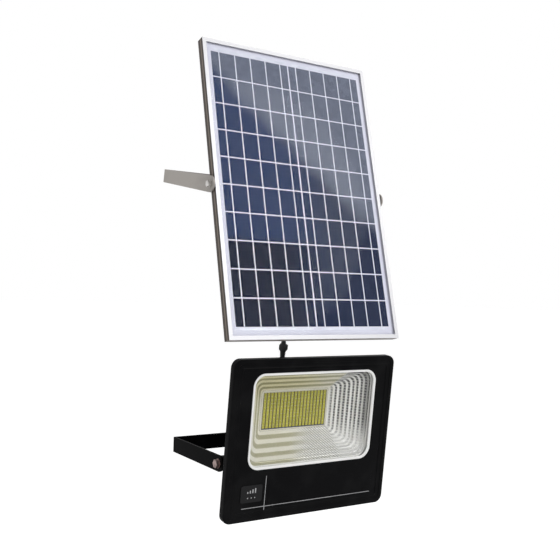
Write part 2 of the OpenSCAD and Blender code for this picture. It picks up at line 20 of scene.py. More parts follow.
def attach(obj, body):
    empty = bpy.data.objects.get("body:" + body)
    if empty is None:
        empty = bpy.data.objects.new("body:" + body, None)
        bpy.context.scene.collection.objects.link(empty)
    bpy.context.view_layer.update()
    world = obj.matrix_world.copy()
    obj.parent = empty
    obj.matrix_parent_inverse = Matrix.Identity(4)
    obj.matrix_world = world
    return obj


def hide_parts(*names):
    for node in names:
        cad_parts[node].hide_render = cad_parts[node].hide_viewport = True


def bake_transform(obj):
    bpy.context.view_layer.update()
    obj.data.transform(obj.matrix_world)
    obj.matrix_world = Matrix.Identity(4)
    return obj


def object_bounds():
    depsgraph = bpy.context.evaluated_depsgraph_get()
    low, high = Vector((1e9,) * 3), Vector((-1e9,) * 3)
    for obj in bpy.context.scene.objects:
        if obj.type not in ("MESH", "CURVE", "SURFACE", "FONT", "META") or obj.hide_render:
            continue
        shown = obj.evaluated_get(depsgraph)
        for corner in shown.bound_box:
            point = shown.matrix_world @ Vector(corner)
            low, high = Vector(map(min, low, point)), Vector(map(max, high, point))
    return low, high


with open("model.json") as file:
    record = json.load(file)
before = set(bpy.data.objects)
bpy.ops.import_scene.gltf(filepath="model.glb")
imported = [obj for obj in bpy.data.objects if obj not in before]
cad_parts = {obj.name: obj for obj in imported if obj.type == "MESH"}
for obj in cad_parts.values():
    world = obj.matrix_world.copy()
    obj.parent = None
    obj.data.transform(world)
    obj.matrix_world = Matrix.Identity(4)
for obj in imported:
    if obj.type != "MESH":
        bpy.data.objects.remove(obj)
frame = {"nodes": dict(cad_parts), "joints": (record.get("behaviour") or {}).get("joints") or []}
CAD_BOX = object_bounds()

LOG = logging.getLogger("flood_light")
MM = 0.001
TUBE_MAP = "along_tube"
WHITE = (1.0, 1.0, 1.0, 1.0)
Colour = tuple[float, float, float]
Point = tuple[float, float, float]
Pair = tuple[float, float]


class Ends(Enum):
    """What a loft does with its first and last rings: leaves them apart, or joins them."""

    OPEN = "open"
    CLOSED = "closed"


class Layout(Enum):
    """How a template's copies are laid out."""

    GRID = "grid"
    RING = "ring"


class Lay(Enum):
    """How a lead lies."""

    COILED = "coiled"
    HANGING = "hanging"


# ---- Frames ----


@dataclass(frozen=True)
class TiltFrame:
    """A sub-assembly's own axes, turned about X on its tilt joint.

    Attributes:
        joint: The joint on whose axis it turns.
        tilt: How far it is turned at rest, in degrees.
        depth: How far the axis is behind the front face, in millimetres.
        drop: How far the axis is below the front face's centre, in millimetres.
    """

    joint: str
    tilt: float
    depth: float = 0.0
    drop: float = 0.0

    def pivot(self) -> Vector:
        """The joint's place in the shared frame."""
        return Vector(next(j["pos_m"] for j in frame["joints"] if j["name"] == self.joint))

    def matrix(self) -> Matrix:
        """The way from this frame to the shared one.

        Returns:
            What takes millimetres in this frame to metres in the shared one.
        """
        turn = Matrix.Rotation(math.radians(self.tilt), 4, "X")
        shift = Matrix.Translation((0, -self.depth, self.drop))
        return Matrix.Translation(self.pivot()) @ turn @ Matrix.Scale(MM, 4) @ shift

    def place(self, spot: Sequence[float]) -> Vector:
        """A point of this frame, in the shared one."""
        return self.matrix() @ Vector(spot)

    def mapping(self) -> tuple[Vector, Point]:
        """The way from Object coordinates into this frame, still in metres.

        Returns:
            A Mapping node's location and rotation.
        """
        angle = math.radians(-self.tilt)
        turn = Matrix.Rotation(angle, 3, "X")
        location = Vector((0, self.depth, -self.drop)) * MM - turn @ self.pivot()
        return location, (angle, 0.0, 0.0)


LAMP = TiltFrame("lamp_tilt", 6.0, 34.0, 44.0)
PANEL = TiltFrame("panel_tilt", -14.0, 11.0)


# ---- Shader maths ----


class Field:
    """An output socket of a node tree, with arithmetic that adds Math nodes."""

    def __init__(self, paint: "Paint", socket: bpy.types.NodeSocket) -> None:
        """Wraps a socket of a paint's tree."""
        self.paint = paint
        self.socket = socket

    def _math(self, operation: str, first: Any, second: Any) -> "Field":
        """One Math node on two values."""
        node = self.paint.node("ShaderNodeMath", {"operation": operation}, {0: first, 1: second})
        return self.paint.out(node)

    def __add__(self, other: Any) -> "Field":
        """The sum."""
        return self._math("ADD", self, other)

    def __radd__(self, other: Any) -> "Field":
        """The sum, reflected."""
        return self._math("ADD", other, self)

    def __sub__(self, other: Any) -> "Field":
        """The difference."""
        return self._math("SUBTRACT", self, other)

    def __rsub__(self, other: Any) -> "Field":
        """The difference, reflected."""
        return self._math("SUBTRACT", other, self)

    def __mul__(self, other: Any) -> "Field":
        """The product."""
        return self._math("MULTIPLY", self, other)

    def __rmul__(self, other: Any) -> "Field":
        """The product, reflected."""
        return self._math("MULTIPLY", other, self)

    def fold(self, period: float) -> "Field":
        """The distance from the nearest multiple of a period."""
        return self._math("PINGPONG", self, period / 2)


class Paint:
    """Builds the nodes of one material, or of the world."""

    def __init__(self, owner: bpy.types.Material | bpy.types.World) -> None:
        """Starts on an empty tree.

        Args:
            owner: The material or world that the nodes are for.
        """
        owner.use_nodes = True
        self.owner = owner
        self.tree = owner.node_tree
        self.tree.nodes.clear()

    @classmethod
    def named(cls, name: str) -> "Paint":
        """Starts a new material of that name."""
        return cls(bpy.data.materials.new(name))

    def node(self, kind: str, settings: dict | None = None, sockets: dict | None = None) -> Any:
        """Adds a node.

        Args:
            kind: The node's type.
            settings: Its properties, set first.
            sockets: Values or Fields by the input's identifier or number.

        Returns:
            The node.
        """
        made = self.tree.nodes.new(kind)
        for name, value in (settings or {}).items():
            setattr(made, name, value)
        by_identifier = {s.identifier: s for s in made.inputs}
        for key, value in (sockets or {}).items():
            target = made.inputs[key] if isinstance(key, int) else by_identifier[key]
            if isinstance(value, Field):
                self.tree.links.new(value.socket, target)
            else:
                target.default_value = value
        return made

    def out(self, node: Any, name: str | int = 0) -> Field:
        """One of a node's outputs.

        Args:
            node: The node.
            name: The output's number or identifier.

        Returns:
            The output.
        """
        if isinstance(name, int):
            return Field(self, node.outputs[name])
        return Field(self, next(s for s in node.outputs if s.identifier == name))

    def coords(self, axes: TiltFrame | None = None, scale: Point = (1, 1, 1)) -> Field:
        """Where a point of the surface is, in metres.

        Args:
            axes: The sub-assembly's frame that it is given in, if not the shared one.
            scale: Factors along the three axes, which make a pattern finer.

        Returns:
            The place.
        """
        spot = self.out(self.node("ShaderNodeTexCoord"), "Object")
        if axes is not None:
            location, rotation = axes.mapping()
            places = {"Vector": spot, "Location": location, "Rotation": rotation}
            spot = self.out(self.node("ShaderNodeMapping", None, places))
        if tuple(scale) != (1, 1, 1):
            stretch = {"Vector": spot, "Scale": scale}
            spot = self.out(self.node("ShaderNodeMapping", None, stretch))
        return spot

    def split(self, vector: Field) -> tuple[Field, Field, Field]:
        """A vector's X, Y and Z."""
        node = self.node("ShaderNodeSeparateXYZ", None, {0: vector})
        return self.out(node, 0), self.out(node, 1), self.out(node, 2)

    def noise(self, vector: Field, size: float, detail: float = 3.0) -> Field:
        """Smooth noise with features of a size in millimetres."""
        places = {"Vector": vector, "Scale": 1 / (size * MM), "Detail": detail}
        return self.out(self.node("ShaderNodeTexNoise", None, places), 0)

    def grains(self, vector: Field, size: float) -> Field:
        """A random value for each crystal.

        Args:
            vector: Where the crystals are looked up.
            size: Their size in millimetres.

        Returns:
            The value, 0 to 1.
        """
        places = {"Vector": vector, "Scale": 1 / (size * MM)}
        node = self.node("ShaderNodeTexVoronoi", None, places)
        return self.split(self.out(node, "Color"))[0]

    def rise(self, value: Field, low: float, high: float) -> Field:
        """A smooth step.

        Args:
            value: What it follows.
            low: The value up to which it is 0.
            high: The value from which it is 1.

        Returns:
            The step.
        """
        places = {"Value": value, "From Min": low, "From Max": high}
        settings = {"interpolation_type": "SMOOTHSTEP"}
        return self.out(self.node("ShaderNodeMapRange", settings, places), 0)

    def mix(self, factor: Any, first: Any, second: Any) -> Field:
        """A colour between two.

        Args:
            factor: How far it is from the first to the second.
            first: A Field or three numbers.
            second: A Field or three numbers.

        Returns:
            The colour.
        """
        colours = [c if isinstance(c, Field) else (*c, 1.0) for c in (first, second)]
        places = {"Factor_Float": factor, "A_Color": colours[0], "B_Color": colours[1]}
        node = self.node("ShaderNodeMix", {"data_type": "RGBA"}, places)
        return self.out(node, "Result_Color")

    def bump(self, height: Field, depth: float) -> Field:
        """A normal from a height of 0 to 1 over a depth in millimetres."""
        places = {"Height": height, "Strength": 1.0, "Distance": depth * MM}
        return self.out(self.node("ShaderNodeBump", None, places), 0)

    def seen(self) -> Field:
        """1 for rays that the camera sees by, also in a mirror or through glass, else 0.

        Returns:
            The mask.
        """
        path = self.node("ShaderNodeLightPath")
        straight = self.out(path, "Is Camera Ray")
        return straight + self.out(path, "Is Glossy Ray") + self.out(path, "Is Transmission Ray")

    def end(self, shader: Any, kind: str = "ShaderNodeOutputMaterial") -> Any:
        """Ends the tree in a shader node, and returns the tree's owner."""
        self.node(kind, None, {"Surface": self.out(shader)})
        return self.owner

    def surface(self, sockets: dict) -> bpy.types.Material:
        """Ends the material in one Principled surface with these sockets."""
        return self.end(self.node("ShaderNodeBsdfPrincipled", None, sockets))


# ---- Finishes ----


@dataclass(frozen=True)
class Finish:
    """A finish whose grain mixes two close colours, with a fine relief.

    Attributes:
        name: The material's name.
        light: Its lighter colour.
        dark: Its darker colour.
        roughness: Roughness at the grain's low and high ends.
        metallic: 1 for bare metal.
        specular: Strength of the reflection on anything that isn't metal.
        grain: Size of the fine grain, in millimetres.
        relief: Depth of the fine grain, in millimetres.
        stretch: How much finer the grain is along each axis.
    """

    name: str
    light: Colour
    dark: Colour
    roughness: Pair = (0.4, 0.55)
    metallic: float = 0.0
    specular: float = 0.5
    grain: float = 1.2
    relief: float = 0.02
    stretch: Point = (1, 1, 1)

    def material(self) -> bpy.types.Material:
        """Builds the finish.

        Returns:
            Its material.
        """
        paint = Paint.named(self.name)
        spot = paint.coords(scale=self.stretch)
        cloud = paint.rise(paint.noise(spot, self.grain * 22), 0.35, 0.65)
        fine = paint.noise(spot, self.grain, 5.0)
        mask = cloud * 0.6 + fine * 0.4
        low, high = self.roughness
        return paint.surface({
            "Base Color": paint.mix(mask, self.dark, self.light),
            "Roughness": fine * (high - low) + low,
            "Metallic": self.metallic,
            "Specular IOR Level": self.specular,
            "Normal": paint.bump(fine, self.relief),
        })


@dataclass(frozen=True)
class PowderCoat:
    """Black powder coat: a fine orange peel, thinner and paler in places, with dust in its hollows.

    Attributes:
        name: The material's name.
        colour: Its colour.
        worn: Its colour where it is thin or dusty.
        index: Refractive index, low for a dull black.
        peel: Size of the orange peel, in millimetres.
        depth: Depth of the orange peel, in millimetres.
        dust: Size of the dust, in millimetres.
    """

    name: str = "powder_coat"
    colour: Colour = (0.0035, 0.0035, 0.004)
    worn: Colour = (0.009, 0.009, 0.0095)
    index: float = 1.1
    peel: float = 1.1
    depth: float = 0.035
    dust: float = 0.45

    def material(self) -> bpy.types.Material:
        """Builds the finish.

        Returns:
            Its material.
        """
        paint = Paint.named(self.name)
        spot = paint.coords()
        peel = paint.noise(spot, self.peel, 2.0)
        speck = paint.rise(paint.noise(spot, self.dust, 2.0), 0.6, 0.75)
        cloud = paint.rise(paint.noise(spot, 45.0), 0.4, 0.7)
        return paint.surface({
            "Base Color": paint.mix(cloud * 0.6 + speck * 0.4, self.colour, self.worn),
            "Roughness": cloud * 0.1 + peel * 0.12 + 0.3,
            "IOR": self.index,
            "Normal": paint.bump(peel + speck * 0.4, self.depth),
        })


@dataclass(frozen=True)
class RailFinish:
    """Anodised extrusion, bright on its lip, with drawn lines and a groove along its outer wall, which
    is darkened with painted shade and lightened along the groove by a painted reflection.

    Attributes:
        name: The material's name.
        lip: Colour of the lip round the front.
        wall: Colour of the outer wall, a painted shade and dark reflection.
        groove: Colour of the groove, a paler painted reflection on the shaded wall.
        lip_depth: Depth down to which the lip's colour goes, in millimetres.
        groove_from: Depth of the groove's front edge, in millimetres.
        groove_to: Depth of its back edge, in millimetres.
        blur: Width of the groove's edges, in millimetres.
        lines: How much finer the drawn lines are across the rail than along it.
    """

    name: str = "anodised_rail"
    lip: Colour = (0.66, 0.66, 0.68)
    wall: Colour = (0.045, 0.034, 0.03)
    groove: Colour = (0.26, 0.215, 0.18)
    lip_depth: float = 0.5
    groove_from: float = 6.6
    groove_to: float = 9.2
    blur: float = 0.3
    lines: float = 30.0

    def material(self) -> bpy.types.Material:
        """Builds the finish.

        Returns:
            Its material.
        """
        paint = Paint.named(self.name)
        spot = paint.coords(PANEL)
        depth = paint.split(spot)[1]
        drawn = paint.noise(paint.coords(PANEL, (1.0, self.lines, 1.0)), 14.0, 4.0)
        mottle = paint.noise(spot, 9.0, 4.0)
        past_lip = paint.rise(depth, self.lip_depth * MM, (self.lip_depth + 0.5) * MM)
        start = paint.rise(depth, (self.groove_from - self.blur) * MM, self.groove_from * MM)
        end = paint.rise(depth, self.groove_to * MM, (self.groove_to + self.blur) * MM)
        stripe = start - end
        # Painted shade on the outer wall, lightened along the groove by a painted reflection.
        wall = paint.mix(stripe * 0.75 + mottle * 0.25, self.wall, self.groove)
        return paint.surface({
            "Base Color": paint.mix(past_lip, self.lip, wall),
            "Roughness": drawn * 0.18 + 0.3,
            "Metallic": (1.0 - past_lip) * 0.3,
            "Specular IOR Level": 0.15,
            "Normal": paint.bump(drawn * 0.3 - stripe, 0.25),
        })


@dataclass(frozen=True)
class CellFinish:
    """Polycrystalline silicon: crystals and fingers, with a painted reflection that is pale to the upper
    right and navy at the lower left.

    Attributes:
        name: The material's name.
        crystal: Size of the crystals, in millimetres.
        finger_pitch: Distance between the fingers, in millimetres.
        pale: Colour of the painted reflection above the slanting edge of the sheen.
        blue: Colour below it, at the left.
        slate: Colour below it, at the right.
        navy: Colour of the lowest rows, at the left, where the painted reflection is darkest.
        tone: Colour that each crystal leans to by its own share.
        silver: Colour of the fingers.
        left_to_right: X over which the left's colours give way to the right's, in metres.
        lowest: Height from which the painted reflection darkens the lowest rows, and that from which it
            doesn't.
        sheen_at: Height of the painted sheen's slanting edge at the panel's middle, in metres.
        sheen_slope: How far that edge falls per metre to the right.
        sheen_blur: Where the sheen starts and is full, from that edge.
        finger: Distances from a finger's middle at which it fades and ends, in millimetres.
    """

    name: str = "silicon"
    crystal: float = 11.0
    finger_pitch: float = 1.9
    pale: Colour = (0.215, 0.235, 0.29)
    blue: Colour = (0.026, 0.046, 0.125)
    slate: Colour = (0.036, 0.046, 0.088)
    navy: Colour = (0.004, 0.005, 0.017)
    tone: Colour = (0.0, 0.002, 0.01)
    silver: Colour = (0.35, 0.38, 0.45)
    left_to_right: Pair = (-0.06, 0.08)
    lowest: Pair = (-0.098, -0.078)
    sheen_at: float = 0.095
    sheen_slope: float = 0.85
    sheen_blur: Pair = (-0.028, 0.03)
    finger: Pair = (0.05, 0.16)

    def material(self) -> bpy.types.Material:
        """Builds the finish.

        Returns:
            Its material.
        """
        paint = Paint.named(self.name)
        spot = paint.coords(PANEL)
        across, _, up = paint.split(spot)
        crystals = paint.grains(paint.coords(PANEL, (1.0, 0.2, 1.4)), self.crystal)
        cloud = paint.noise(spot, 60.0, 2.0)
        # Painted reflection: blue to slate from left to right, navy in the lowest rows at the left, and
        # pale above a slanting edge.
        to_right = paint.rise(across, *self.left_to_right)
        low = 1.0 - paint.rise(up + cloud * 0.012, *self.lowest)
        past_edge = up + across * self.sheen_slope + cloud * 0.05 - self.sheen_at
        sheen = paint.rise(past_edge, *self.sheen_blur)
        under = paint.mix(to_right, self.blue, self.slate)
        under = paint.mix((1.0 - to_right) * low * 0.92, under, self.navy)
        colour = paint.mix(sheen * 0.95, under, self.pale)
        colour = paint.mix(crystals * 0.18, colour, self.tone)
        inner, outer = self.finger
        finger = 1.0 - paint.rise(up.fold(self.finger_pitch * MM), inner * MM, outer * MM)
        return paint.surface({
            "Base Color": paint.mix(finger * 0.1, colour, self.silver),
            "Roughness": crystals * 0.2 + 0.5,
            "IOR": 1.05,
            "Normal": paint.bump(crystals, 0.02),
        })


@dataclass(frozen=True)
class ReflectorFinish:
    """Metallised plastic in bands, its colour painted with highlights, a warm reflection and shade: warm
    above and left of the chips, and dark between ribs at the right.

    Attributes:
        name: The material's name.
        bright: The bands' painted highlight, where they catch the light.
        warm: The bands' colour where the painted warm reflection is strongest, on the upper and left
            walls.
        khaki: Between the bright bands.
        olive: Between the warm bands.
        slit: Painted shade between the facets of the lower right corner.
        grey: The facets between the ribs of the right wall.
        dark: Painted shade between those facets, and where the bezel shades the right wall.
        deep: Depth of the tray, in metres.
        wide_bands: Bands on the upper, lower and left walls.
        narrow_bands: Bands on the right wall.
        tick: Distance between the facets along a band, in metres.
        right_wall: X over which the right wall's look takes over, in metres.
        left_wall: X over which the painted warm reflection on the left wall fades.
        top: Height over which the painted warm reflection on the upper wall grows.
        corner: X less height, over which the painted highlight of the lower right corner grows.
        shaded: Depth over which the right wall leaves the bezel's painted shade.
        lower_end: Height over which the painted highlight on the right wall's lower end fades.
    """

    name: str = "metallised"
    bright: Colour = (0.97, 0.97, 0.97)
    warm: Colour = (0.90, 0.85, 0.62)
    khaki: Colour = (0.60, 0.59, 0.48)
    olive: Colour = (0.36, 0.33, 0.17)
    slit: Colour = (0.25, 0.25, 0.24)
    grey: Colour = (0.5, 0.5, 0.5)
    dark: Colour = (0.055, 0.055, 0.06)
    deep: float = 0.0571
    wide_bands: int = 4
    narrow_bands: int = 10
    tick: float = 0.0052
    right_wall: Pair = (0.071, 0.080)
    left_wall: Pair = (-0.05, 0.07)
    top: Pair = (0.05, 0.08)
    corner: Pair = (0.0, 0.05)
    shaded: Pair = (0.010, 0.026)
    lower_end: Pair = (-0.03, 0.02)

    def material(self) -> bpy.types.Material:
        """Builds the finish.

        Returns:
            Its material.
        """
        paint = Paint.named(self.name)
        spot = paint.coords(LAMP)
        across, depth, up = paint.split(spot)
        haze = paint.noise(spot, 6.0, 4.0)
        right = paint.rise(across, *self.right_wall)
        left = 1.0 - paint.rise(across, *self.left_wall)
        high = paint.rise(up, *self.top)
        # Painted warm reflection on the upper and left walls.
        warm_reflection = (left * 0.3 + high * 0.55) * (1.0 - right)
        wobble = haze * 0.0012
        wide = self._bands(paint, depth + wobble, self.wide_bands)
        narrow = self._bands(paint, depth + wobble, self.narrow_bands)
        facet = paint.rise(up.fold(self.tick), self.tick * 0.08, self.tick * 0.3)
        leaning = (across * 0.9 + depth * 0.7).fold(self.tick)
        slant = paint.rise(leaning, self.tick * 0.12, self.tick * 0.34)
        # Painted highlight in the lower right corner, crossed by painted shade in its slits.
        corner_highlight = paint.rise(across - up, *self.corner)
        light = paint.mix(warm_reflection, self.bright, self.warm)
        between = paint.mix(warm_reflection, self.khaki, self.olive)
        walls = paint.mix(wide, between, light)
        walls = paint.mix(corner_highlight * 0.85, walls, self.bright)
        walls = paint.mix((1.0 - slant) * corner_highlight * 0.6, walls, self.slit)
        gap = paint.mix(facet, self.grey, self.dark)
        ribs = paint.mix(narrow, gap, self.bright)
        # Painted shade of the bezel over the right wall, and a painted highlight at its lower end.
        shade = 1.0 - paint.rise(depth, *self.shaded)
        end_highlight = 1.0 - paint.rise(up, *self.lower_end)
        ribs = paint.mix(shade * 0.6, ribs, self.dark)
        ribs = paint.mix(end_highlight * 0.7, ribs, self.bright)
        return paint.surface({
            "Base Color": paint.mix(right, walls, ribs),
            "Roughness": haze * 0.2 + 0.22,
            "Metallic": 0.22,
            "Normal": paint.bump(haze, 0.03),
        })

    def _bands(self, paint: Paint, depth: Field, count: int) -> Field:
        """1 on each of a number of bands down the tray, 0 between them."""
        period = self.deep / count
        return paint.rise(depth.fold(period), period * 0.17, period * 0.31)


@dataclass(frozen=True)
class GlassFinish:
    """Clear glass: see-through, with a faint reflection that grows at a slant.

    Attributes:
        name: The material's name.
        tint: Colour of what is seen through it, against white.
        index: Refractive index, which sets how strong the reflection is.
        sheen: Colour of the reflection.
    """

    name: str
    tint: Colour
    index: float
    sheen: Colour = (0.9, 0.92, 0.95)

    def material(self) -> bpy.types.Material:
        """Builds the finish.

        Returns:
            Its material.
        """
        paint = Paint.named(self.name)
        clear = paint.node("ShaderNodeBsdfTransparent", None, {"Color": (*self.tint, 1.0)})
        smear = paint.noise(paint.coords(), 60.0, 3.0)
        gloss = paint.node("ShaderNodeBsdfPrincipled", None, {
            "Base Color": (*self.sheen, 1.0),
            "Metallic": 1.0,
            "Roughness": smear * 0.06 + 0.02,
        })
        amount = paint.out(paint.node("ShaderNodeFresnel", None, {"IOR": self.index}))
        places = {0: amount, 1: paint.out(clear), 2: paint.out(gloss)}
        return paint.end(paint.node("ShaderNodeMixShader", None, places))


@dataclass(frozen=True)
class JacketFinish:
    """Black cable jacket: extruded lines along it and faint scuffs, on the tube's own map.

    Attributes:
        name: The material's name.
        colour: Its colour.
        scuffed: Its colour where it is scuffed.
        lines: How much finer the lines are round the tube than along it.
    """

    name: str = "cable_jacket"
    colour: Colour = (0.010, 0.010, 0.011)
    scuffed: Colour = (0.032, 0.032, 0.034)
    lines: float = 9.0

    def material(self) -> bpy.types.Material:
        """Builds the finish.

        Returns:
            Its material.
        """
        paint = Paint.named(self.name)
        spot = paint.out(paint.node("ShaderNodeUVMap", {"uv_map": TUBE_MAP}))
        long_way = paint.out(paint.node("ShaderNodeMapping", None, {
            "Vector": spot, "Scale": (1.0, self.lines, 1.0),
        }))
        lines = paint.noise(long_way, 9.0, 3.0)
        scuffs = paint.rise(paint.noise(spot, 4.0, 4.0), 0.55, 0.8)
        return paint.surface({
            "Base Color": paint.mix(scuffs, self.colour, self.scuffed),
            "Roughness": lines * 0.15 + scuffs * 0.12 + 0.42,
            "Specular IOR Level": 0.35,
            "Normal": paint.bump(lines, 0.05),
        })


@dataclass(frozen=True)
class FloorFinish:
    """Pale floor that keeps a soft shadow and otherwise fades into the white surround.

    Attributes:
        name: The material's name.
        light: Its lighter colour.
        dark: Its darker colour.
        glow: Strength of the light that it gives off towards the camera, also by a reflection.
    """

    name: str = "pale_floor"
    light: Colour = (0.88, 0.88, 0.88)
    dark: Colour = (0.84, 0.84, 0.84)
    glow: float = 0.56

    def material(self) -> bpy.types.Material:
        """Builds the finish.

        Returns:
            Its material.
        """
        paint = Paint.named(self.name)
        grain = paint.noise(paint.coords(), 40.0, 2.0)
        return paint.surface({
            "Base Color": paint.mix(grain, self.dark, self.light),
            "Roughness": 0.9,
            "Specular IOR Level": 0.1,
            "Emission Color": paint.mix(paint.seen(), (0.0, 0.0, 0.0), (self.glow,) * 3),
            "Emission Strength": 1.0,
        })


POWDER_COAT = PowderCoat().material()
# A darker copy of the housing's powder coat, painted shade on the lamp bracket.
SHADED_BRACKET_COAT = PowderCoat("bracket_coat", (0.0012, 0.0012, 0.0014), (0.004, 0.004, 0.0045),
                          1.06).material()
RAIL = RailFinish().material()
SILICON = CellFinish().material()
METALLISED = ReflectorFinish().material()
JACKET = JacketFinish().material()
PANEL_GLASS = GlassFinish("solar_glass", (0.98, 0.985, 1.0), 1.1).material()
LAMP_GLASS = GlassFinish("lamp_glass", (0.99, 0.99, 0.985), 1.12).material()
BOLT_STEEL = Finish("bolt_steel", (0.66, 0.64, 0.62), (0.36, 0.35, 0.34), (0.22, 0.4), 1.0,
                    grain=0.5, relief=0.01).material()
# A darker, redder copy of the bolt steel, painted shade on the lamp's pivot bolts and washers.
SHADED_STEEL = Finish("dark_steel", (0.42, 0.31, 0.29), (0.12, 0.085, 0.08), (0.25, 0.45), 0.9,
                    grain=0.7, relief=0.01).material()
STRIP_STEEL = Finish("strip_steel", (0.42, 0.39, 0.36), (0.27, 0.25, 0.235), (0.42, 0.6), 0.45,
                     grain=2.2, relief=0.05, stretch=(1, 0.3, 1)).material()
ZINC = Finish("yellow_zinc", (0.62, 0.5, 0.25), (0.4, 0.36, 0.3), (0.3, 0.45), 1.0).material()
TIN = Finish("tinned_ribbon", (0.90, 0.91, 0.97), (0.76, 0.78, 0.86), (0.3, 0.5), 0.15,
             grain=0.8, stretch=(1, 1, 0.15)).material()
BACKSHEET = Finish("white_sheet", (0.89, 0.88, 0.95), (0.82, 0.81, 0.89), (0.45, 0.6),
                   grain=1.6, relief=0.01).material()
SEALANT = Finish("white_sealant", (0.74, 0.74, 0.75), (0.6, 0.6, 0.6), (0.5, 0.65)).material()
NYLON = Finish("black_nylon", (0.020, 0.020, 0.021), (0.010, 0.010, 0.011), (0.38, 0.55),
               specular=0.35, grain=0.6, relief=0.03).material()
RUBBER = Finish("black_rubber", (0.026, 0.026, 0.026), (0.014, 0.014, 0.014), (0.6, 0.75),
                specular=0.25, grain=0.8).material()
RED_RUBBER = Finish("red_rubber", (0.42, 0.09, 0.05), (0.28, 0.05, 0.03), (0.55, 0.7)).material()
PHOSPHOR = Finish("phosphor", (0.62, 0.58, 0.085), (0.42, 0.40, 0.05), (0.4, 0.55),
                  specular=0.3, grain=1.0, relief=0.02).material()
CHIP_BODY = Finish("chip_body", (0.72, 0.68, 0.30), (0.6, 0.56, 0.24), (0.4, 0.55),
                   grain=0.8).material()
SOLDER_MASK = Finish("solder_mask", (0.15, 0.135, 0.03), (0.09, 0.08, 0.018), (0.35, 0.5),
                     grain=1.5, relief=0.01).material()
BOARD_FRAME = Finish("pale_frame", (0.80, 0.78, 0.68), (0.68, 0.66, 0.55), (0.35, 0.5),
                     grain=1.5, relief=0.01).material()
BOARD_EDGE = Finish("slate_edge", (0.07, 0.08, 0.14), (0.04, 0.045, 0.08), (0.4, 0.5),
                    grain=0.8).material()
RIM_WHITE = Finish("bright_rim", (0.95, 0.95, 0.94), (0.88, 0.88, 0.87), (0.25, 0.4),
                   grain=2.5, relief=0.01).material()
SMOKED = Finish("smoked_window", (0.012, 0.012, 0.013), (0.006, 0.006, 0.007), (0.12, 0.2),
                specular=0.1, grain=8.0, relief=0.004).material()
MARK_PAINT = Finish("pale_print", (0.46, 0.46, 0.47), (0.32, 0.32, 0.33), (0.5, 0.62),
                    grain=0.9).material()
GREEN_BOARD = Finish("green_board", (0.025, 0.17, 0.06), (0.015, 0.1, 0.04)).material()
CERAMIC = Finish("ceramic", (0.68, 0.65, 0.58), (0.58, 0.55, 0.48), (0.5, 0.65)).material()
CELL_WRAP = Finish("battery_wrap", (0.05, 0.2, 0.5), (0.035, 0.14, 0.4), (0.15, 0.3)).material()
GREY_PAD = Finish("grey_pad", (0.48, 0.5, 0.52), (0.4, 0.42, 0.44), (0.7, 0.8)).material()


# ---- Mesh building ----


def arc_ring(size: Sequence[float], radius: float, centre: Sequence[float], depth: float,
             runs: Sequence[int] = (1, 1, 6), wave: Sequence[float] = (0.0,)) -> list[Point]:
    """Points round a rectangle with rounded corners, anticlockwise seen from the front.

    Args:
        size: Width and height.
        radius: Corner radius.
        centre: X and Z of its middle.
        depth: Y of every point.
        runs: Steps along a width, along a height and round a corner.
        wave: Outward shifts, taken in turn by the points.

    Returns:
        The points, the same number for the same runs.
    """
    half_w, half_h = size[0] / 2 - radius, size[1] / 2 - radius
    corners = [(half_w, half_h, 0), (-half_w, half_h, 90), (-half_w, -half_h, 180),
               (half_w, -half_h, 270)]
    found = []
    for number, (x, z, start) in enumerate(corners):
        for step in range(runs[2]):
            angle = math.radians(start + 90 * step / runs[2])
            found.append((x, z, radius, angle))
        after = corners[(number + 1) % 4]
        side = runs[0] if number % 2 == 0 else runs[1]
        angle = math.radians(start + 90)
        for step in range(side):
            share = step / side
            spot = (x + (after[0] - x) * share, z + (after[1] - z) * share)
            found.append((*spot, radius, angle))
    points = []
    for index, (x, z, reach, angle) in enumerate(found):
        grown = reach + wave[index % len(wave)]
        points.append((centre[0] + x + grown * math.cos(angle), depth,
                       centre[1] + z + grown * math.sin(angle)))
    return points


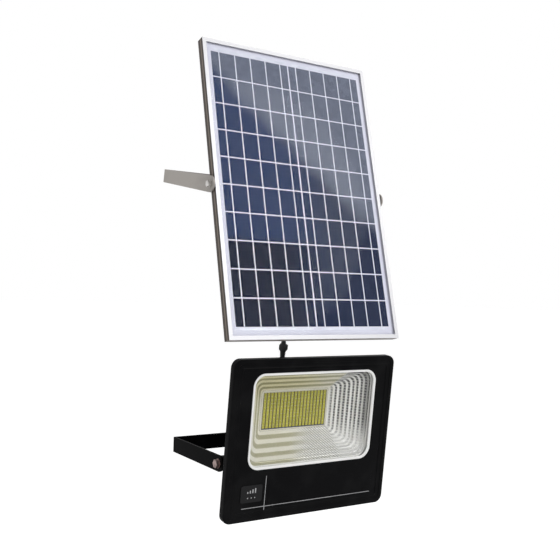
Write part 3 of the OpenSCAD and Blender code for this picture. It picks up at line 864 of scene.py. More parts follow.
class Shape:
    """Collects faces in a sub-assembly's millimetres and makes one object of them."""

    def __init__(self, placing: Matrix) -> None:
        """Starts empty; placing takes its points into the shared frame."""
        self.placing = placing
        self.points: list[Vector] = []
        self.faces: list[tuple[int, ...]] = []
        self.finishes: list[int] = []

    def ring(self, points: Sequence[Sequence[float]]) -> list[int]:
        """Adds points.

        Args:
            points: Their places.

        Returns:
            Their numbers.
        """
        first = len(self.points)
        self.points += [Vector(p) for p in points]
        return list(range(first, len(self.points)))

    def face(self, corners: Sequence[int], finish: int = 0) -> None:
        """Adds a face with the material of that number."""
        self.faces.append(tuple(corners))
        self.finishes.append(finish)

    def loft(self, rings: Sequence[Sequence[Sequence[float]]], ends: Ends = Ends.OPEN,
             finishes: Sequence[int] = (0,)) -> None:
        """Skins a row of rings.

        Args:
            rings: Rings of the same number of points.
            ends: CLOSED joins the last ring to the first.
            finishes: The material of each span, the last one repeated.
        """
        numbers = [self.ring(r) for r in rings]
        spans = list(zip(numbers, numbers[1:]))
        if ends is Ends.CLOSED:
            spans.append((numbers[-1], numbers[0]))
        for index, (near, far) in enumerate(spans):
            finish = finishes[min(index, len(finishes) - 1)]
            count = len(near)
            for k in range(count):
                after = (k + 1) % count
                self.face((near[k], near[after], far[after], far[k]), finish)

    def slab(self, size: Sequence[float], radius: float, centre: Sequence[float], front: float,
             back: float, finish: int = 0, bevel: float = 0.25) -> None:
        """A closed plate with rounded corners and a bevelled front edge.

        Args:
            size: Width and height.
            radius: Corner radius.
            centre: X and Z of its middle.
            front: Y of its front.
            back: Y of its back.
            finish: The number of its material.
            bevel: Width of the bevel.
        """
        steps = (1, 1, 5)
        inner = [side - 2 * bevel for side in size]
        rings = [
            arc_ring(size, radius, centre, back, steps),
            arc_ring(size, radius, centre, front + bevel, steps),
            arc_ring(inner, max(radius - bevel, 0.05), centre, front, steps),
        ]
        first = len(self.points)
        self.loft(rings, Ends.OPEN, (finish,))
        count = len(rings[0])
        self.face(range(first, first + count), finish)
        self.face(range(first + 2 * count, first + 3 * count), finish)

    def lathe(self, profile: Sequence[Pair], steps: int = 40) -> None:
        """Turns a closed outline about Z.

        Args:
            profile: The outline's radii and heights.
            steps: Faces round the turn.
        """
        rings = []
        for radius, height in profile:
            turn = [2 * math.pi * k / steps for k in range(steps)]
            rings.append([(radius * math.cos(a), radius * math.sin(a), height) for a in turn])
        self.loft(rings, Ends.CLOSED)

    def make(self, name: str, finishes: Sequence[bpy.types.Material],
             crease: float = 32.0) -> bpy.types.Object:
        """Makes the object.

        Args:
            name: Its name.
            finishes: Its materials, in the order that the faces number them.
            crease: The angle in degrees past which an edge stays sharp.

        Returns:
            The object, at the origin, with its place in its mesh.
        """
        mesh = bpy.data.meshes.new(name)
        places = [self.placing @ p for p in self.points]
        mesh.from_pydata(places, [], self.faces)
        mesh.polygons.foreach_set("material_index", self.finishes)
        work = bmesh.new()
        work.from_mesh(mesh)
        bmesh.ops.remove_doubles(work, verts=work.verts, dist=1e-7)
        bmesh.ops.recalc_face_normals(work, faces=work.faces)
        shade_by_angle(work, crease)
        work.to_mesh(mesh)
        work.free()
        for finish in finishes:
            mesh.materials.append(finish)
        return link(name, mesh)


def shade_by_angle(work: bmesh.types.BMesh, crease: float) -> None:
    """Shades smooth except over sharp and open edges.

    Args:
        work: The mesh.
        crease: The angle in degrees from which an edge is sharp.
    """
    for face in work.faces:
        face.smooth = True
    for edge in work.edges:
        edge.smooth = len(edge.link_faces) == 2 and edge.calc_face_angle(0.0) < math.radians(crease)


def link(name: str, data: bpy.types.ID) -> bpy.types.Object:
    """Puts a mesh, a light or a camera in the scene.

    Args:
        name: The object's name.
        data: What it is made of.

    Returns:
        The object.
    """
    piece = bpy.data.objects.new(name, data)
    bpy.context.scene.collection.objects.link(piece)
    return piece


def dress(finishes: dict[bpy.types.Material, Sequence[str]]) -> None:
    """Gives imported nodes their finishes.

    Args:
        finishes: The names of each material's nodes.
    """
    for finish, nodes in finishes.items():
        for node in nodes:
            mesh = frame["nodes"][node].data
            mesh.materials.clear()
            mesh.materials.append(finish)
            LOG.info("%s is in %s", node, finish.name)


def settle(piece: bpy.types.Object, body: str, slot: str, *stands_for: str) -> bpy.types.Object:
    """Rides a piece on a body and hides the nodes that it stands for.

    Args:
        piece: The piece.
        body: The body's name.
        slot: The slot's name; not used.
        stands_for: The nodes' names.

    Returns:
        The piece.
    """
    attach(piece, body)
    if stands_for:
        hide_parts(*stands_for)
    LOG.info("%s rides on %s", piece.name, body)
    return piece


# ---- Repeats ----


class Repeat:
    """A Geometry Nodes tree that sets copies of a template on a grid or round a ring."""

    INPUTS = {
        Layout.GRID: (("Columns", "Int"), ("Rows", "Int"), ("Width", "Float"), ("Height", "Float")),
        Layout.RING: (("Count", "Int"), ("Radius", "Float")),
    }

    def __init__(self, layout: Layout) -> None:
        """Builds the tree with its named inputs.

        Args:
            layout: Where the copies go.
        """
        self.tree = bpy.data.node_groups.new("copies_on_" + layout.value, "GeometryNodeTree")
        face = self.tree.interface
        face.new_socket("Geometry", in_out="OUTPUT", socket_type="NodeSocketGeometry")
        face.new_socket("Template", in_out="INPUT", socket_type="NodeSocketObject")
        face.new_socket("Finish", in_out="INPUT", socket_type="NodeSocketMaterial")
        for name, kind in self.INPUTS[layout]:
            face.new_socket(name, in_out="INPUT", socket_type="NodeSocket" + kind)
        sizes = self._add("NodeGroupInput")
        copies = self._add("GeometryNodeInstanceOnPoints")
        if layout is Layout.GRID:
            self._grid(sizes, copies)
        else:
            self._ring(sizes, copies)
        template = self._add("GeometryNodeObjectInfo")
        template.transform_space = "RELATIVE"
        self._join(sizes.outputs["Template"], template.inputs["Object"])
        self._join(template.outputs["Geometry"], copies.inputs["Instance"])
        real = self._add("GeometryNodeRealizeInstances")
        self._join(copies.outputs["Instances"], real.inputs["Geometry"])
        finish = self._add("GeometryNodeSetMaterial")
        self._join(real.outputs["Geometry"], finish.inputs["Geometry"])
        self._join(sizes.outputs["Finish"], finish.inputs["Material"])
        end = self._add("NodeGroupOutput")
        self._join(finish.outputs["Geometry"], end.inputs["Geometry"])

    def _add(self, kind: str) -> Any:
        """Adds a node."""
        return self.tree.nodes.new(kind)

    def _join(self, source: Any, target: Any) -> None:
        """Links two sockets."""
        self.tree.links.new(source, target)

    def _grid(self, sizes: Any, copies: Any) -> None:
        """Puts the copies on a grid of columns and rows.

        Args:
            sizes: The tree's inputs.
            copies: The node that sets the copies.
        """
        points = self._add("GeometryNodeMeshGrid")
        pairs = (("Width", "Size X"), ("Height", "Size Y"), ("Columns", "Vertices X"),
                 ("Rows", "Vertices Y"))
        for source, target in pairs:
            self._join(sizes.outputs[source], points.inputs[target])
        self._join(points.outputs["Mesh"], copies.inputs["Points"])

    def _ring(self, sizes: Any, copies: Any) -> None:
        """Puts the copies round a circle, each with its X axis pointing outwards.

        Args:
            sizes: The tree's inputs.
            copies: The node that sets the copies.
        """
        points = self._add("GeometryNodeMeshCircle")
        self._join(sizes.outputs["Count"], points.inputs["Vertices"])
        self._join(sizes.outputs["Radius"], points.inputs["Radius"])
        turn = self._add("FunctionNodeAlignRotationToVector")
        turn.axis = "X"
        self._join(self._add("GeometryNodeInputPosition").outputs[0], turn.inputs["Vector"])
        self._join(points.outputs["Mesh"], copies.inputs["Points"])
        self._join(turn.outputs["Rotation"], copies.inputs["Rotation"])

    def make(self, name: str, template: bpy.types.Object, finish: bpy.types.Material,
             sizes: dict[str, float], placing: Matrix) -> bpy.types.Object:
        """Makes a plain mesh of the copies.

        Args:
            name: The piece's name.
            template: What is copied; it is deleted afterwards.
            finish: The copies' material.
            sizes: Values of the tree's inputs by name.
            placing: Takes the layout's axes into the shared frame.

        Returns:
            The piece.
        """
        holder = link(name + "_layout", bpy.data.meshes.new(name + "_layout"))
        modifier = holder.modifiers.new("copies", "NODES")
        modifier.node_group = self.tree
        values = {"Template": template, "Finish": finish, **sizes}
        for item in self.tree.interface.items_tree:
            if item.in_out == "INPUT":
                modifier[item.identifier] = values[item.name]
        graph = bpy.context.evaluated_depsgraph_get()
        mesh = bpy.data.meshes.new_from_object(holder.evaluated_get(graph), depsgraph=graph)
        holder.modifiers.remove(modifier)
        mesh.name = name
        mesh.transform(placing)
        for spent in (holder, template):
            bpy.data.objects.remove(spent)
        return link(name, mesh)


# ---- Leads ----


def eased(share: float) -> float:
    """A share of a way, with a soft start and end."""
    held = min(1.0, max(0.0, share))
    return held * held * (3 - 2 * held)


def smooth_path(points: Sequence[Vector], step: float) -> list[Vector]:
    """A curve through points.

    Args:
        points: What it goes through.
        step: About how far apart its own points are.

    Returns:
        Its own points.
    """
    path = []
    last = len(points) - 1
    for i in range(last):
        before, start = points[max(i - 1, 0)], points[i]
        end, after = points[i + 1], points[min(i + 2, last)]
        count = max(1, round((end - start).length / step))
        for k in range(count):
            t = k / count
            path.append(0.5 * (2 * start + (end - before) * t
                               + (2 * before - 5 * start + 4 * end - after) * t ** 2
                               + (3 * start - before - 3 * end + after) * t ** 3))
    path.append(points[-1])
    return path


def path_length(path: Sequence[Vector]) -> float:
    """Length of a row of points."""
    return sum((b - a).length for a, b in zip(path, path[1:]))


def tube(name: str, path: Sequence[Vector], radius: float, sides: int = 12) -> bpy.types.Object:
    """A closed tube along a path, with a map of its length and its way round.

    Args:
        name: The piece's name.
        path: Its centreline, in metres.
        radius: Its radius, in metres.
        sides: Faces round it.

    Returns:
        The piece, in cable jacket.
    """
    work = bmesh.new()
    sheet = work.loops.layers.uv.new(TUBE_MAP)
    side = Vector((0, 0, 1)).cross(path[1] - path[0])
    side = side if side.length > 1e-6 else Vector((1, 0, 0))
    rings, run = [], [0.0]
    for i, centre in enumerate(path):
        ahead = (path[min(i + 1, len(path) - 1)] - path[max(i - 1, 0)]).normalized()
        side = (side - ahead * side.dot(ahead)).normalized()
        across = ahead.cross(side)
        turn = [2 * math.pi * k / sides for k in range(sides)]
        rings.append([work.verts.new(centre + radius * (math.cos(a) * side + math.sin(a) * across))
                      for a in turn])
        if i:
            run.append(run[-1] + (centre - path[i - 1]).length)
    girth = 2 * math.pi * radius / sides
    for i, (near, far) in enumerate(zip(rings, rings[1:])):
        for k in range(sides):
            after = (k + 1) % sides
            face = work.faces.new((near[k], near[after], far[after], far[k]))
            spots = ((run[i], k), (run[i], k + 1), (run[i + 1], k + 1), (run[i + 1], k))
            for loop, (along, around) in zip(face.loops, spots):
                loop[sheet].uv = (along, around * girth)
    work.faces.new(rings[0])
    work.faces.new(rings[-1])
    bmesh.ops.recalc_face_normals(work, faces=work.faces)
    shade_by_angle(work, 60.0)
    mesh = bpy.data.meshes.new(name)
    work.to_mesh(mesh)
    work.free()
    mesh.materials.append(JACKET)
    return link(name, mesh)


@dataclass(frozen=True)
class CoilSlot:
    """One turn's place in the coil: its radius and its Y, in metres."""

    radius: float
    y: float


@dataclass
class Leads:
    """The panel's 5 m lead, with its coil behind the panel, and the lamp's own short lead.

    Attributes:
        diameter: Of both leads, in metres.
        step: Distance between rings along a lead, in metres.
        coil_centre: Middle of the coil, whose axis is along Y.
        coil_diameter: Across the middle of its turns.
        across: Turns side by side.
        layers: Layers of turns.
        quarter: Steps in a quarter turn.
        shift_from: Share of a turn after which the lead moves over to its next place.
        leave_at: Share of the last turn after which the lead comes forward.
        leave_over: Share of a turn that it takes to come forward.
        front_y: Y at which the lead passes down in front of its coil.
        upper_route: From the junction box to the bottom of the coil.
        drop_route: From the coil's left side down to the connector.
        lamp_route: The lamp's lead in the lamp's frame, from its gland to the connector's boot.
        bend_from: A point in the lamp's frame, up to which the lamp's lead was meant to move with the
            lamp; it is only placed.
        bend_to: The point from which it was meant to stay with the wall; it is only placed.
    """

    diameter: float = 0.0065
    step: float = 0.0045
    coil_centre: Point = (-0.012, -0.02425, 0.464)
    coil_diameter: float = 0.076
    across: int = 5
    layers: int = 4
    quarter: int = 9
    shift_from: float = 0.78
    leave_at: float = 0.42
    leave_over: float = 0.3
    front_y: float = -0.044
    upper_route: tuple[Point, ...] = (
        (-0.0747, -0.1892, 0.469), (-0.084, -0.1892, 0.469), (-0.097, -0.187, 0.467),
        (-0.110, -0.180, 0.463), (-0.120, -0.167, 0.457), (-0.127, -0.150, 0.450),
        (-0.130, -0.131, 0.443), (-0.129, -0.111, 0.436), (-0.124, -0.091, 0.429),
        (-0.115, -0.072, 0.423), (-0.102, -0.0555, 0.419), (-0.086, -0.0435, 0.417),
        (-0.068, -0.0355, 0.4163), (-0.050, -0.0318, 0.4162), (-0.034, -0.0308, 0.4162),
        (-0.020, -0.03075, 0.4162),
    )
    drop_route: tuple[Point, ...] = (
        (-0.0402, -0.0435, 0.4600), (-0.0403, -0.0443, 0.448), (-0.0406, -0.0456, 0.435),
        (-0.0414, -0.048, 0.420), (-0.0427, -0.0518, 0.403), (-0.0444, -0.057, 0.386),
        (-0.0463, -0.064, 0.369), (-0.048, -0.073, 0.352), (-0.0492, -0.084, 0.336),
        (-0.0498, -0.097, 0.321), (-0.050, -0.111, 0.307), (-0.050, -0.126, 0.2935),
        (-0.050, -0.141, 0.2805), (-0.050, -0.155, 0.268), (-0.050, -0.168, 0.2545),
        (-0.050, -0.1785, 0.241), (-0.050, -0.186, 0.2275), (-0.050, -0.1898, 0.2155),
        (-0.050, -0.1906, 0.2061),
    )
    lamp_route: tuple[Point, ...] = (
        (92, 80, 72), (92, 86, 72), (92, 93.5, 71), (91.7, 101, 67), (90.4, 106, 60),
        (87.1, 108.5, 51), (79.8, 108.5, 41), (65.9, 107, 33), (46.3, 104.5, 28.5),
        (23.4, 101.5, 27.5), (0.6, 98.5, 30), (-19, 96, 36), (-33.7, 94.5, 46), (-43.5, 93.5, 58),
        (-48.4, 91.5, 71), (-50, 87, 83), (-50, 79, 92), (-50, 69, 99.5), (-50, 59.5, 107),
        (-50, 51.5, 115), (-50, 46.6, 123.5), (-50, 45.2, 131.7), (-50, 45.2, 136),
    )
    bend_from: Point = (60, 100, 60)
    bend_to: Point = (-50, 45, 130)

    def slots(self) -> list[CoilSlot]:
        """The turns' places.

        Returns:
            The places in winding order: outermost layer first, back and forth along Y.
        """
        found = []
        for layer in range(self.layers):
            radius = self.coil_diameter / 2 + (self.layers / 2 - 0.5 - layer) * self.diameter
            places = list(range(self.across))
            if layer % 2:
                places.reverse()
            for place in places[1:] if layer == 0 else places:
                y = self.coil_centre[1] + (place - (self.across - 1) / 2) * self.diameter
                found.append(CoilSlot(radius, y))
        return found

    def coil(self) -> list[Vector]:
        """The coil's turns.

        Returns:
            Points along them, from the coil's bottom to its left side.
        """
        slots = self.slots()
        turn_steps = 4 * self.quarter
        total = (len(slots) - 1) * turn_steps + 3 * self.quarter
        points = []
        for i in range(1, total):
            number, part = divmod(i / turn_steps, 1.0)
            here = slots[int(number)]
            radius, y = here.radius, here.y
            if int(number) + 1 < len(slots):
                after = slots[int(number) + 1]
                share = eased((part - self.shift_from) / (1 - self.shift_from))
                radius += (after.radius - radius) * share
                y += (after.y - y) * share
            else:
                y += (self.front_y - y) * eased((part - self.leave_at) / self.leave_over)
            angle = math.radians(-90 + 360 * part)
            points.append(Vector((self.coil_centre[0] + radius * math.cos(angle), y,
                                  self.coil_centre[2] + radius * math.sin(angle))))
        return points

    def panel_lead(self, ending: list[bpy.types.Object]) -> bpy.types.Object:
        """The lead from the panel's junction box to the connector.

        Args:
            ending: The connector's upper pieces, which end it.

        Returns:
            The lead.
        """
        upper = [Vector(p) for p in self.upper_route]
        drop = [Vector(p) for p in self.drop_route]
        path = smooth_path(upper + self.coil() + drop, self.step)
        piece = tube("panel_lead", path, self.diameter / 2)
        LOG.info("the panel's lead is %.3f m long", path_length(path))
        settle(piece, "root", "lead_jacket", "panel_lead_upper", "panel_lead_drop", "lead_coil")
        self.declare(path, ending + [frame["nodes"]["coil_ties"]])
        return piece

    def lamp_lead(self, ending: list[bpy.types.Object]) -> bpy.types.Object:
        """The lamp's own lead, from its gland to the connector.

        Args:
            ending: The connector's lower pieces, which end it.

        Returns:
            The lead.
        """
        path = smooth_path([LAMP.place(p) for p in self.lamp_route], self.step)
        piece = tube("lamp_lead_tube", path, self.diameter / 2)
        LOG.info("the lamp's lead is %.3f m long, and bends between lamp and root", path_length(path))
        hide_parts("lamp_lead")
        LAMP.place(self.bend_from)
        LAMP.place(self.bend_to)
        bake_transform(piece)
        self.declare(path, ending + [frame["nodes"]["connector_seal"]])
        return piece

    def declare(self, path: list[Vector],
                others: list[bpy.types.Object]) -> None:
        """Works out a lead's length, which it doesn't keep.

        Args:
            path: Its centreline.
            others: The pieces on it; not used.
        """
        path_length(path)


# ---- Connector ----


@dataclass
class Connector:
    """The screw connector above the lamp: a boot and socket, a ribbed collar, and the plug.

    Attributes:
        x: Its axis's X in the lamp's frame, in millimetres.
        y: Its axis's depth in the lamp's frame.
        boot_z: Where the lower boot starts.
        socket_z: Where the socket's body starts.
        collar_z: Where the collar starts.
        collar_h: The collar's height.
        collar_r: The collar's radius.
        plug_z: Where the plug's body starts.
        plug_top: Where the upper boot ends.
        ribs: Grip ribs round the collar.
    """

    x: float = -50.0
    y: float = 45.0
    boot_z: float = 132.5
    socket_z: float = 144.6
    collar_z: float = 145.6
    collar_h: float = 12.0
    collar_r: float = 7.0
    plug_z: float = 151.4
    plug_top: float = 162.0
    ribs: int = 22

    def axis(self) -> Matrix:
        """Takes the connector's own millimetres, with Z along it, into the shared frame."""
        return LAMP.matrix() @ Matrix.Translation((self.x, self.y, 0))

    def socket(self) -> bpy.types.Object:
        """The lower half: a ringed boot below a plain body.

        Returns:
            The piece.
        """
        shape = Shape(self.axis())
        outline = [(3.3, self.boot_z)]
        rings = 4
        pitch = (self.socket_z - self.boot_z - 2) / rings
        for k in range(rings):
            low = self.boot_z + k * pitch
            radius = 4.5 + 0.18 * k
            outline += [(radius, low + 0.15), (radius, low + pitch * 0.62),
                        (radius - 0.7, low + pitch * 0.72), (radius - 0.7, low + pitch * 0.95)]
        outline += [(5.3, self.socket_z - 1.6), (5.7, self.socket_z), (5.7, self.socket_z + 5.3),
                    (3.3, self.socket_z + 5.3)]
        shape.lathe(outline)
        piece = shape.make("connector_socket_half", [NYLON])
        return settle(piece, "root", "gland_nylon", "connector_socket")

    def plug(self) -> bpy.types.Object:
        """The upper half: a plain body under a ringed boot that narrows to the lead.

        Returns:
            The piece.
        """
        shape = Shape(self.axis())
        neck = self.plug_z + 4.9
        outline = [(0.4, self.plug_z), (5.8, self.plug_z), (5.8, neck - 0.3), (5.4, neck),
                   (4.7, neck + 0.2), (4.7, neck + 1.5), (4.1, neck + 1.8), (4.1, neck + 2.3),
                   (4.5, neck + 2.5), (4.4, neck + 3.6), (3.9, neck + 3.9), (3.9, neck + 4.4),
                   (4.2, neck + 4.6), (3.8, self.plug_top), (0.4, self.plug_top)]
        shape.lathe(outline)
        piece = shape.make("connector_plug_half", [NYLON])
        return settle(piece, "root", "gland_nylon", "connector_plug")

    def collar(self) -> bpy.types.Object:
        """The collar that screws the halves together, with its locking tab.

        Returns:
            The piece.
        """
        shape = Shape(self.axis())
        low, high = self.collar_z, self.collar_z + self.collar_h
        shape.lathe([
            (6.1, low), (self.collar_r - 0.4, low), (self.collar_r, low + 0.5),
            (self.collar_r, high - 2.2), (self.collar_r - 0.9, high - 0.9),
            (self.collar_r - 1.6, high - 0.2), (5.2, high), (4.95, high), (4.95, high - 1.1),
            (6.1, high - 1.3),
        ], 56)
        tab = shape.ring([(x, y, z) for z in (low + 1.2, high - 2.0) for x, y in (
            (self.collar_r - 0.5, -1.6), (9.0, -1.2), (9.0, 1.2), (self.collar_r - 0.5, 1.6))])
        for k in range(4):
            after = (k + 1) % 4
            shape.face((tab[k], tab[after], tab[4 + after], tab[4 + k]))
        shape.face(tab[:4])
        shape.face(tab[4:])
        piece = shape.make("connector_ring", [NYLON])
        return settle(piece, "collar", "gland_nylon", "connector_collar")

    def grip(self) -> bpy.types.Object:
        """The ribs round the collar.

        Returns:
            The piece.
        """
        shape = Shape(Matrix.Identity(4))
        half, tall = 0.42, self.collar_h - 4.0
        outline = [(-0.4, -half), (0.28, -half * 0.7), (0.5, 0.0), (0.28, half * 0.7), (-0.4, half)]
        levels = ((0.0, 0.75), (0.5, 1.0), (tall - 0.5, 1.0), (tall, 0.75))
        rings = [[(x * share, y * share, z) for x, y in outline] for z, share in levels]
        shape.loft(rings)
        shape.face(range(5))
        shape.face(range(15, 20))
        placing = self.axis() @ Matrix.Translation((0, 0, self.collar_z + 1.0))
        sizes = {"Count": self.ribs, "Radius": self.collar_r}
        template = shape.make("rib", [NYLON])
        piece = Repeat(Layout.RING).make("connector_grip", template, NYLON, sizes, placing)
        return settle(piece, "collar", "gland_nylon")

    def build(self) -> tuple[list[bpy.types.Object], list[bpy.types.Object]]:
        """All of its pieces: those that end the panel's lead, and those that end the lamp's."""
        dress({RED_RUBBER: ("connector_seal",)})
        return [self.plug(), self.collar(), self.grip()], [self.socket()]


# ---- Flood lamp ----


@dataclass
class FloodLamp:
    """The lamp: its bezel, printed lines, reflector, chips and housing.

    Attributes:
        width: Of the front frame, in millimetres.
        height: Of the front frame.
        corner: Corner radius of the front frame.
        skirt: Depth of the front frame's edge.
        window: Width and height of the opening.
        window_r: Corner radius of the opening.
        window_z: Height of the opening's centre.
        board: Width and height of the light board's bright area.
        board_y: Depth of the light board.
        reflector_y: Depth of the reflector's rim.
        columns: Chips across.
        rows: Chips down.
        chip_area: Width and height that the chips cover.
        terraces: Steps from the rim down to the board.
        ridges: Ridges on each step.
        display_at: Middle of the charge display.
        tray_steps: The reflector's steps along a width, along a height and round a corner.
        tray_inset: How much less wide and high the tray's rim is than the window.
        tray_corners: Corner radius of the tray at its rim and at the board.
        tray_bow: Power by which the tray's walls curve.
        terrace_drop: Depth of the step that starts each terrace.
        ridge_rise: Height of a ridge, as a share of its width.
        scallop: How far the scallops reach outwards.
        lines: Size and middle of each printed line.
        line_depths: Depth of the lines' front and back.
        plate: Width and height of the bare plate.
        plate_at: Its middle.
        plate_depths: Depth of its front and back.
        mark_depths: Depth of the display marks' front and back.
    """

    width: float = 340.0
    height: float = 280.0
    corner: float = 15.0
    skirt: float = 9.0
    window: Pair = (261.0, 167.0)
    window_r: float = 23.0
    window_z: float = 32.0
    board: Pair = (146.0, 74.0)
    board_y: float = 66.4
    reflector_y: float = 9.3
    columns: int = 19
    rows: int = 10
    chip_area: Pair = (137.0, 65.0)
    terraces: int = 3
    ridges: int = 4
    display_at: Pair = (-118.0, -91.0)
    tray_steps: tuple[int, int, int] = (240, 136, 28)
    tray_inset: float = 9.0
    tray_corners: Pair = (19.0, 5.0)
    tray_bow: float = 0.9
    terrace_drop: float = 0.55
    ridge_rise: float = 0.175
    scallop: float = 0.75
    lines: tuple[tuple[Pair, Pair], ...] = (((274, 0.9), (1.5, -116)), ((0.9, 61), (-90.5, -93)))
    line_depths: Pair = (0.52, 1.9)
    plate: Pair = (224.0, 37.0)
    plate_at: Pair = (28.0, -93.0)
    plate_depths: Pair = (0.75, 2.2)
    mark_depths: Pair = (-0.06, 0.3)

    def _border(self, inset: float, depth: float) -> list[Point]:
        """A ring of the bezel that follows its outer edge, at an inset."""
        size = (self.width - 2 * inset, self.height - 2 * inset)
        return arc_ring(size, max(self.corner - inset, 4.0), (0, 0), depth, (1, 1, 10))

    def _opening(self, grow: float, depth: float) -> list[Point]:
        """A ring of the bezel that follows its window, at a distance outside it."""
        size = [side + 2 * grow for side in self.window]
        return arc_ring(size, self.window_r + grow, (0, self.window_z), depth, (1, 1, 10))

    def bezel(self) -> bpy.types.Object:
        """The front frame: a stepped border, a face that slopes to the window, and a bead round it.

        Returns:
            The piece.
        """
        steps = ((0.0, self.skirt), (0.0, 2.4), (0.35, 1.1), (1.2, 0.35), (2.6, 0.0), (8.2, 0.0),
                 (9.2, 1.1), (14.2, 1.1), (15.4, 0.35), (17.0, 0.35), (18.2, 1.5))
        bead = ((3.4, 0.75), (2.7, 0.1), (1.3, 0.05), (0.3, 0.6), (0.0, 1.4), (0.0, 3.5))
        rings = [self._border(inset, depth) for inset, depth in steps]
        rings += [self._opening(grow, depth) for grow, depth in bead]
        rings += [self._border(3.0, 3.5), self._border(3.0, self.skirt)]
        shape = Shape(LAMP.matrix())
        shape.loft(rings, Ends.CLOSED)
        piece = shape.make("lamp_bezel", [POWDER_COAT], 24.0)
        return settle(piece, "lamp", "black_paint", "lamp_front_frame")

    def print_lines(self) -> bpy.types.Object:
        """The two thin lines on the lower face.

        Returns:
            The piece.
        """
        shape = Shape(LAMP.matrix())
        for size, middle in self.lines:
            shape.slab(size, 0.4, middle, *self.line_depths, bevel=0.1)
        return settle(shape.make("face_lines", [MARK_PAINT]), "lamp", "black_paint")

    def plaque(self) -> bpy.types.Object:
        """A low bare plate on the lower face.

        Returns:
            The piece.
        """
        shape = Shape(LAMP.matrix())
        shape.slab(self.plate, 3.0, self.plate_at, *self.plate_depths, bevel=0.35)
        return settle(shape.make("face_plate", [POWDER_COAT]), "lamp", "black_paint")

    def display(self) -> bpy.types.Object:
        """The charge display's marks: four bars of growing height and three small dots.

        Returns:
            The piece.
        """
        dress({SMOKED: ("display_window",)})
        shape = Shape(LAMP.matrix())
        x, z = self.display_at
        for k in range(4):
            tall = 3.2 + 1.7 * k
            middle = (x - 7.5 + 5 * k, z + 1.0 + tall / 2)
            shape.slab((2.2, tall), 0.4, middle, *self.mark_depths, bevel=0.05)
        for k in range(3):
            shape.slab((2.0, 2.0), 0.9, (x - 7 + 7 * k, z - 7), *self.mark_depths, bevel=0.05)
        return settle(shape.make("display_marks", [MARK_PAINT]), "lamp", "smoked_window")

    def _tray(self, share: float, depth: float, wave: Sequence[float]) -> list[Point]:
        """A ring of the reflector.

        Args:
            share: How far it is from the rim to the board.
            depth: Its Y.
            wave: Outward shifts that make its scallops.

        Returns:
            Its points.
        """
        rim = [side - self.tray_inset for side in self.window]
        size = [r + (b - r) * share for r, b in zip(rim, self.board)]
        outer, inner = self.tray_corners
        radius = outer + (inner - outer) * share
        return arc_ring(size, radius, (0, self.window_z), depth, self.tray_steps, wave)

    def reflector(self) -> bpy.types.Object:
        """Three scalloped terraces between the bright rim and the light board, closed behind.

        Returns:
            The piece.
        """
        flat = (0.0,)
        deep = self.board_y - self.reflector_y
        rings, finishes = [], []
        for grow, y in ((4.5, 0.9), (4.5, 0.0), (0.0, 0.0), (-3.4, 0.15)):
            size = [side + 2 * grow for side in self.window]
            rings.append(arc_ring(size, self.window_r + grow, (0, self.window_z),
                                  self.reflector_y + y, self.tray_steps))
            finishes.append(1)
        spans = self.terraces * self.ridges
        for span in range(spans):
            step = 0.0 if span % self.ridges else self.terrace_drop
            for part, size in ((0.08, 0.0), (0.35, 1.0), (0.65, 1.0), (0.92, 0.0)):
                share = (span + part) / spans
                lift = size * self.ridge_rise * deep / spans
                wave = [s * size * self.scallop for s in (0.0, 0.7, 1.0, 0.7)]
                depth = self.reflector_y + deep * share ** self.tray_bow + step - lift
                rings.append(self._tray(share, depth, wave))
                finishes.append(0)
        rings.append(self._tray(1.0, self.board_y, flat))
        rings.append([(x * 1.01, y, z) for x, y, z in self._tray(1.0, self.board_y, flat)])
        rings.append(self._tray(-0.01, self.reflector_y + 3.0, flat))
        shape = Shape(LAMP.matrix())
        shape.loft(rings, Ends.CLOSED, finishes)
        piece = shape.make("reflector_tray", [METALLISED, RIM_WHITE], 20.0)
        return settle(piece, "lamp", "mirror_coat", "reflector")

    def chips(self) -> list[bpy.types.Object]:
        """The chips: a pale package each, with a phosphor face, set out on a grid.

        Returns:
            The packages and the faces.
        """
        pitch = (self.chip_area[0] / self.columns, self.chip_area[1] / self.rows)
        sizes = {"Columns": self.columns, "Rows": self.rows,
                 "Width": self.chip_area[0] - pitch[0], "Height": self.chip_area[1] - pitch[1]}
        flat = Matrix.Rotation(math.radians(90), 4, "X")
        middle = Matrix.Translation((0, self.board_y, self.window_z))
        made = []
        for name, finish, share, high in (("chip_bodies", CHIP_BODY, (0.66, 0.99), 0.75),
                                          ("chip_faces", PHOSPHOR, (0.54, 0.93), 0.95)):
            shape = Shape(Matrix.Rotation(math.radians(-90), 4, "X"))
            size = (pitch[0] * share[0], pitch[1] * share[1])
            shape.slab(size, 0.5, (0, 0), -high, 0.0, bevel=0.12)
            template = shape.make(name + "_one", [finish])
            placing = LAMP.matrix() @ middle @ flat
            piece = Repeat(Layout.GRID).make(name, template, finish, sizes, placing)
            made.append(piece)
        settle(made[0], "lamp", "led_board_white")
        settle(made[1], "lamp", "phosphor", "led_chips")
        return made

    def rim(self) -> bpy.types.Object:
        """The bright bead just inside the window.

        Returns:
            The piece.
        """
        shape = Shape(LAMP.matrix())
        rings = [self._opening(grow, depth) for grow, depth in (
            (-0.15, 4.2), (-0.15, 1.5), (-0.6, 0.8), (-3.9, 0.8), (-4.5, 1.6), (-4.5, 4.2))]
        shape.loft(rings, Ends.CLOSED)
        return settle(shape.make("window_rim", [RIM_WHITE]), "lamp", "mirror_coat")

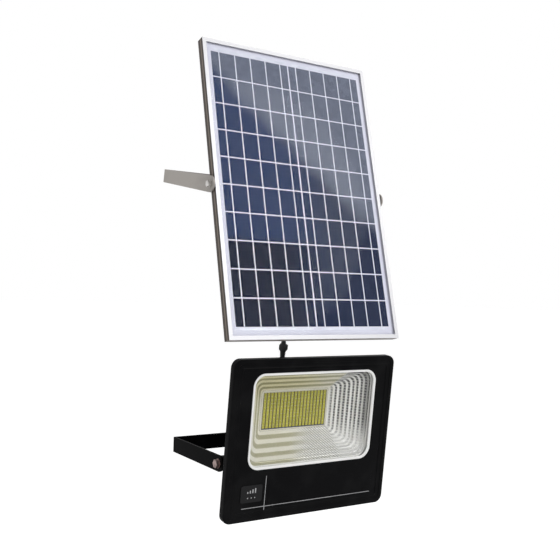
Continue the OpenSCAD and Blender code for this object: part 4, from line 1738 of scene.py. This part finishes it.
    def board_frame(self) -> bpy.types.Object:
        """The pale border round the chips, and the slate-coloured edge below them.

        Returns:
            The piece.
        """
        shape = Shape(LAMP.matrix())
        wide, high = self.chip_area
        rings = []
        for grow, depth in ((0.6, 0.0), (0.6, -0.9), (3.8, -0.9), (4.4, 0.0)):
            size = (wide + 2 * grow, high + 2 * grow)
            rings.append(arc_ring(size, 1.0 + grow, (0, self.window_z), self.board_y + depth))
        shape.loft(rings, Ends.CLOSED)
        low = self.window_z - high / 2 - 0.4
        shape.slab((wide, 1.7), 0.3, (0, low), self.board_y - 1.5, self.board_y - 0.95, 1, 0.1)
        piece = shape.make("board_frame", [BOARD_FRAME, BOARD_EDGE])
        return settle(piece, "lamp", "led_board_white")

    def build(self) -> None:
        """All of its pieces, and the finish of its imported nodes."""
        dress({
            POWDER_COAT: ("rear_housing", "battery_cover"),
            SHADED_BRACKET_COAT: ("lamp_bracket",),
            RUBBER: ("glass_gasket", "housing_seal", "battery_cover_seal", "cable_gland_seal"),
            BOLT_STEEL: ("frame_screws", "battery_cover_screws"),
            SHADED_STEEL: ("lamp_pivot_bolts", "lamp_pivot_washers"),
            NYLON: ("cable_gland_body", "cable_gland_nut", "battery_holder", "controller_parts"),
            GREEN_BOARD: ("controller_board", "display_board"),
            CELL_WRAP: ("battery_cells",),
            GREY_PAD: ("thermal_pad",),
            SOLDER_MASK: ("led_board",),
            LAMP_GLASS: ("front_glass",),
        })
        self.bezel()
        self.plaque()
        self.print_lines()
        self.display()
        self.rim()
        self.reflector()
        self.board_frame()
        self.chips()


# ---- Solar panel ----


class SolarPanel:
    """The panel, its junction box and its bracket."""

    def build(self) -> None:
        """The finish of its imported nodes."""
        dress({
            RAIL: ("panel_frame_top", "panel_frame_bottom", "panel_frame_left", "panel_frame_right"),
            TIN: ("panel_corner_keys", "cell_ribbons"),
            PANEL_GLASS: ("panel_glass",),
            SILICON: ("solar_cells",),
            BACKSHEET: ("backsheet",),
            SEALANT: ("laminate_seal",),
            NYLON: ("junction_box", "junction_box_lid", "bypass_diode", "coil_ties"),
            RUBBER: ("junction_box_boot",),
            CERAMIC: ("terminal_block",),
            BOLT_STEEL: ("panel_pivot_bolts", "panel_pivot_washers"),
            ZINC: ("panel_rivet_nuts",),
            STRIP_STEEL: ("panel_bracket",),
        })


# ---- Studio ----


@dataclass
class StudioLight:
    """A soft round light: its place, size in metres and power in watts."""

    name: str
    place: Point
    size: float
    power: float


@dataclass
class Studio:
    """Camera, soft light and floor.

    Attributes:
        azimuth: Where the camera stands round the object, in degrees.
        elevation: How far it looks down, in degrees.
        roll: Its tilt to the side, in degrees.
        lens: Its focal length on a 36 mm sensor, in millimetres.
        place: Where it stands.
        aim: What the lights point at.
        lights: The lights.
        surround: Strength of the world's light on the object.
        floor_below: How far the floor is below the object, which hangs on a wall.
        floor_half: Half the floor's width.
    """

    azimuth: float = -32.35
    elevation: float = -0.55
    roll: float = 1.6
    lens: float = 51.2
    place: Point = (-0.8084, -1.3701, 0.2998)
    aim: Point = (-0.02, -0.15, 0.3)
    lights: tuple[StudioLight, ...] = (
        StudioLight("key", (1.1, -2.2, 1.7), 1.4, 26.0),
        StudioLight("fill", (-2.0, -1.5, 0.9), 1.6, 9.0),
        StudioLight("top", (0.1, 0.2, 2.4), 1.2, 8.0),
    )
    surround: float = 0.5
    floor_below: float = 0.35
    floor_half: float = 30.0

    def camera(self) -> None:
        """Makes the scene's camera."""
        azimuth, elevation, roll = map(math.radians, (self.azimuth, self.elevation, self.roll))
        back = Vector((math.sin(azimuth) * math.cos(elevation),
                       -math.cos(azimuth) * math.cos(elevation), math.sin(elevation)))
        level = Vector((0, 0, 1)).cross(back).normalized()
        upright = back.cross(level)
        right = level * math.cos(roll) + upright * math.sin(roll)
        above = upright * math.cos(roll) - level * math.sin(roll)
        data = bpy.data.cameras.new("camera")
        data.sensor_width = 36.0
        data.lens = self.lens
        data.clip_start = 0.05
        turn = Matrix((right, above, back)).transposed().to_4x4()
        camera = link("camera", data)
        camera.matrix_world = Matrix.Translation(self.place) @ turn
        bpy.context.scene.camera = camera

    def light(self) -> None:
        """Makes the lights and the pale surround, which the camera sees as white."""
        for light in self.lights:
            data = bpy.data.lights.new(light.name, "AREA")
            data.shape = "DISK"
            data.size = light.size
            data.energy = light.power
            aim = Vector(self.aim) - Vector(light.place)
            stand = link(light.name, data)
            stand.location = light.place
            stand.rotation_euler = aim.to_track_quat("-Z", "Y").to_euler()
        world = bpy.data.worlds.new("surround")
        sky = Paint(world)
        strength = sky.seen() * (1.0 - self.surround) + self.surround
        places = {"Color": WHITE, "Strength": strength}
        sky.end(sky.node("ShaderNodeBackground", None, places), "ShaderNodeOutputWorld")
        bpy.context.scene.world = world

    def floor(self) -> None:
        """Makes the floor."""
        low = CAD_BOX[0].z - self.floor_below
        half = self.floor_half
        corners = [(-half, -half, low), (half, -half, low), (half, half, low), (-half, half, low)]
        mesh = bpy.data.meshes.new("floor")
        mesh.from_pydata(corners, [], [(0, 1, 2, 3)])
        mesh.materials.append(FloorFinish().material())
        link("floor", mesh)

    def build(self) -> None:
        """Camera first, then light and floor."""
        self.camera()
        self.light()
        self.floor()
        bpy.context.scene.view_settings.view_transform = "Standard"


def main() -> None:
    """Builds the object round its frame."""
    logging.basicConfig(level=logging.INFO, format="%(name)s: %(message)s")
    Studio().build()
    upper, lower = Connector().build()
    leads = Leads()
    leads.panel_lead(upper)
    leads.lamp_lead(lower)
    FloodLamp().build()
    SolarPanel().build()


if __name__ == "__main__":
    main()
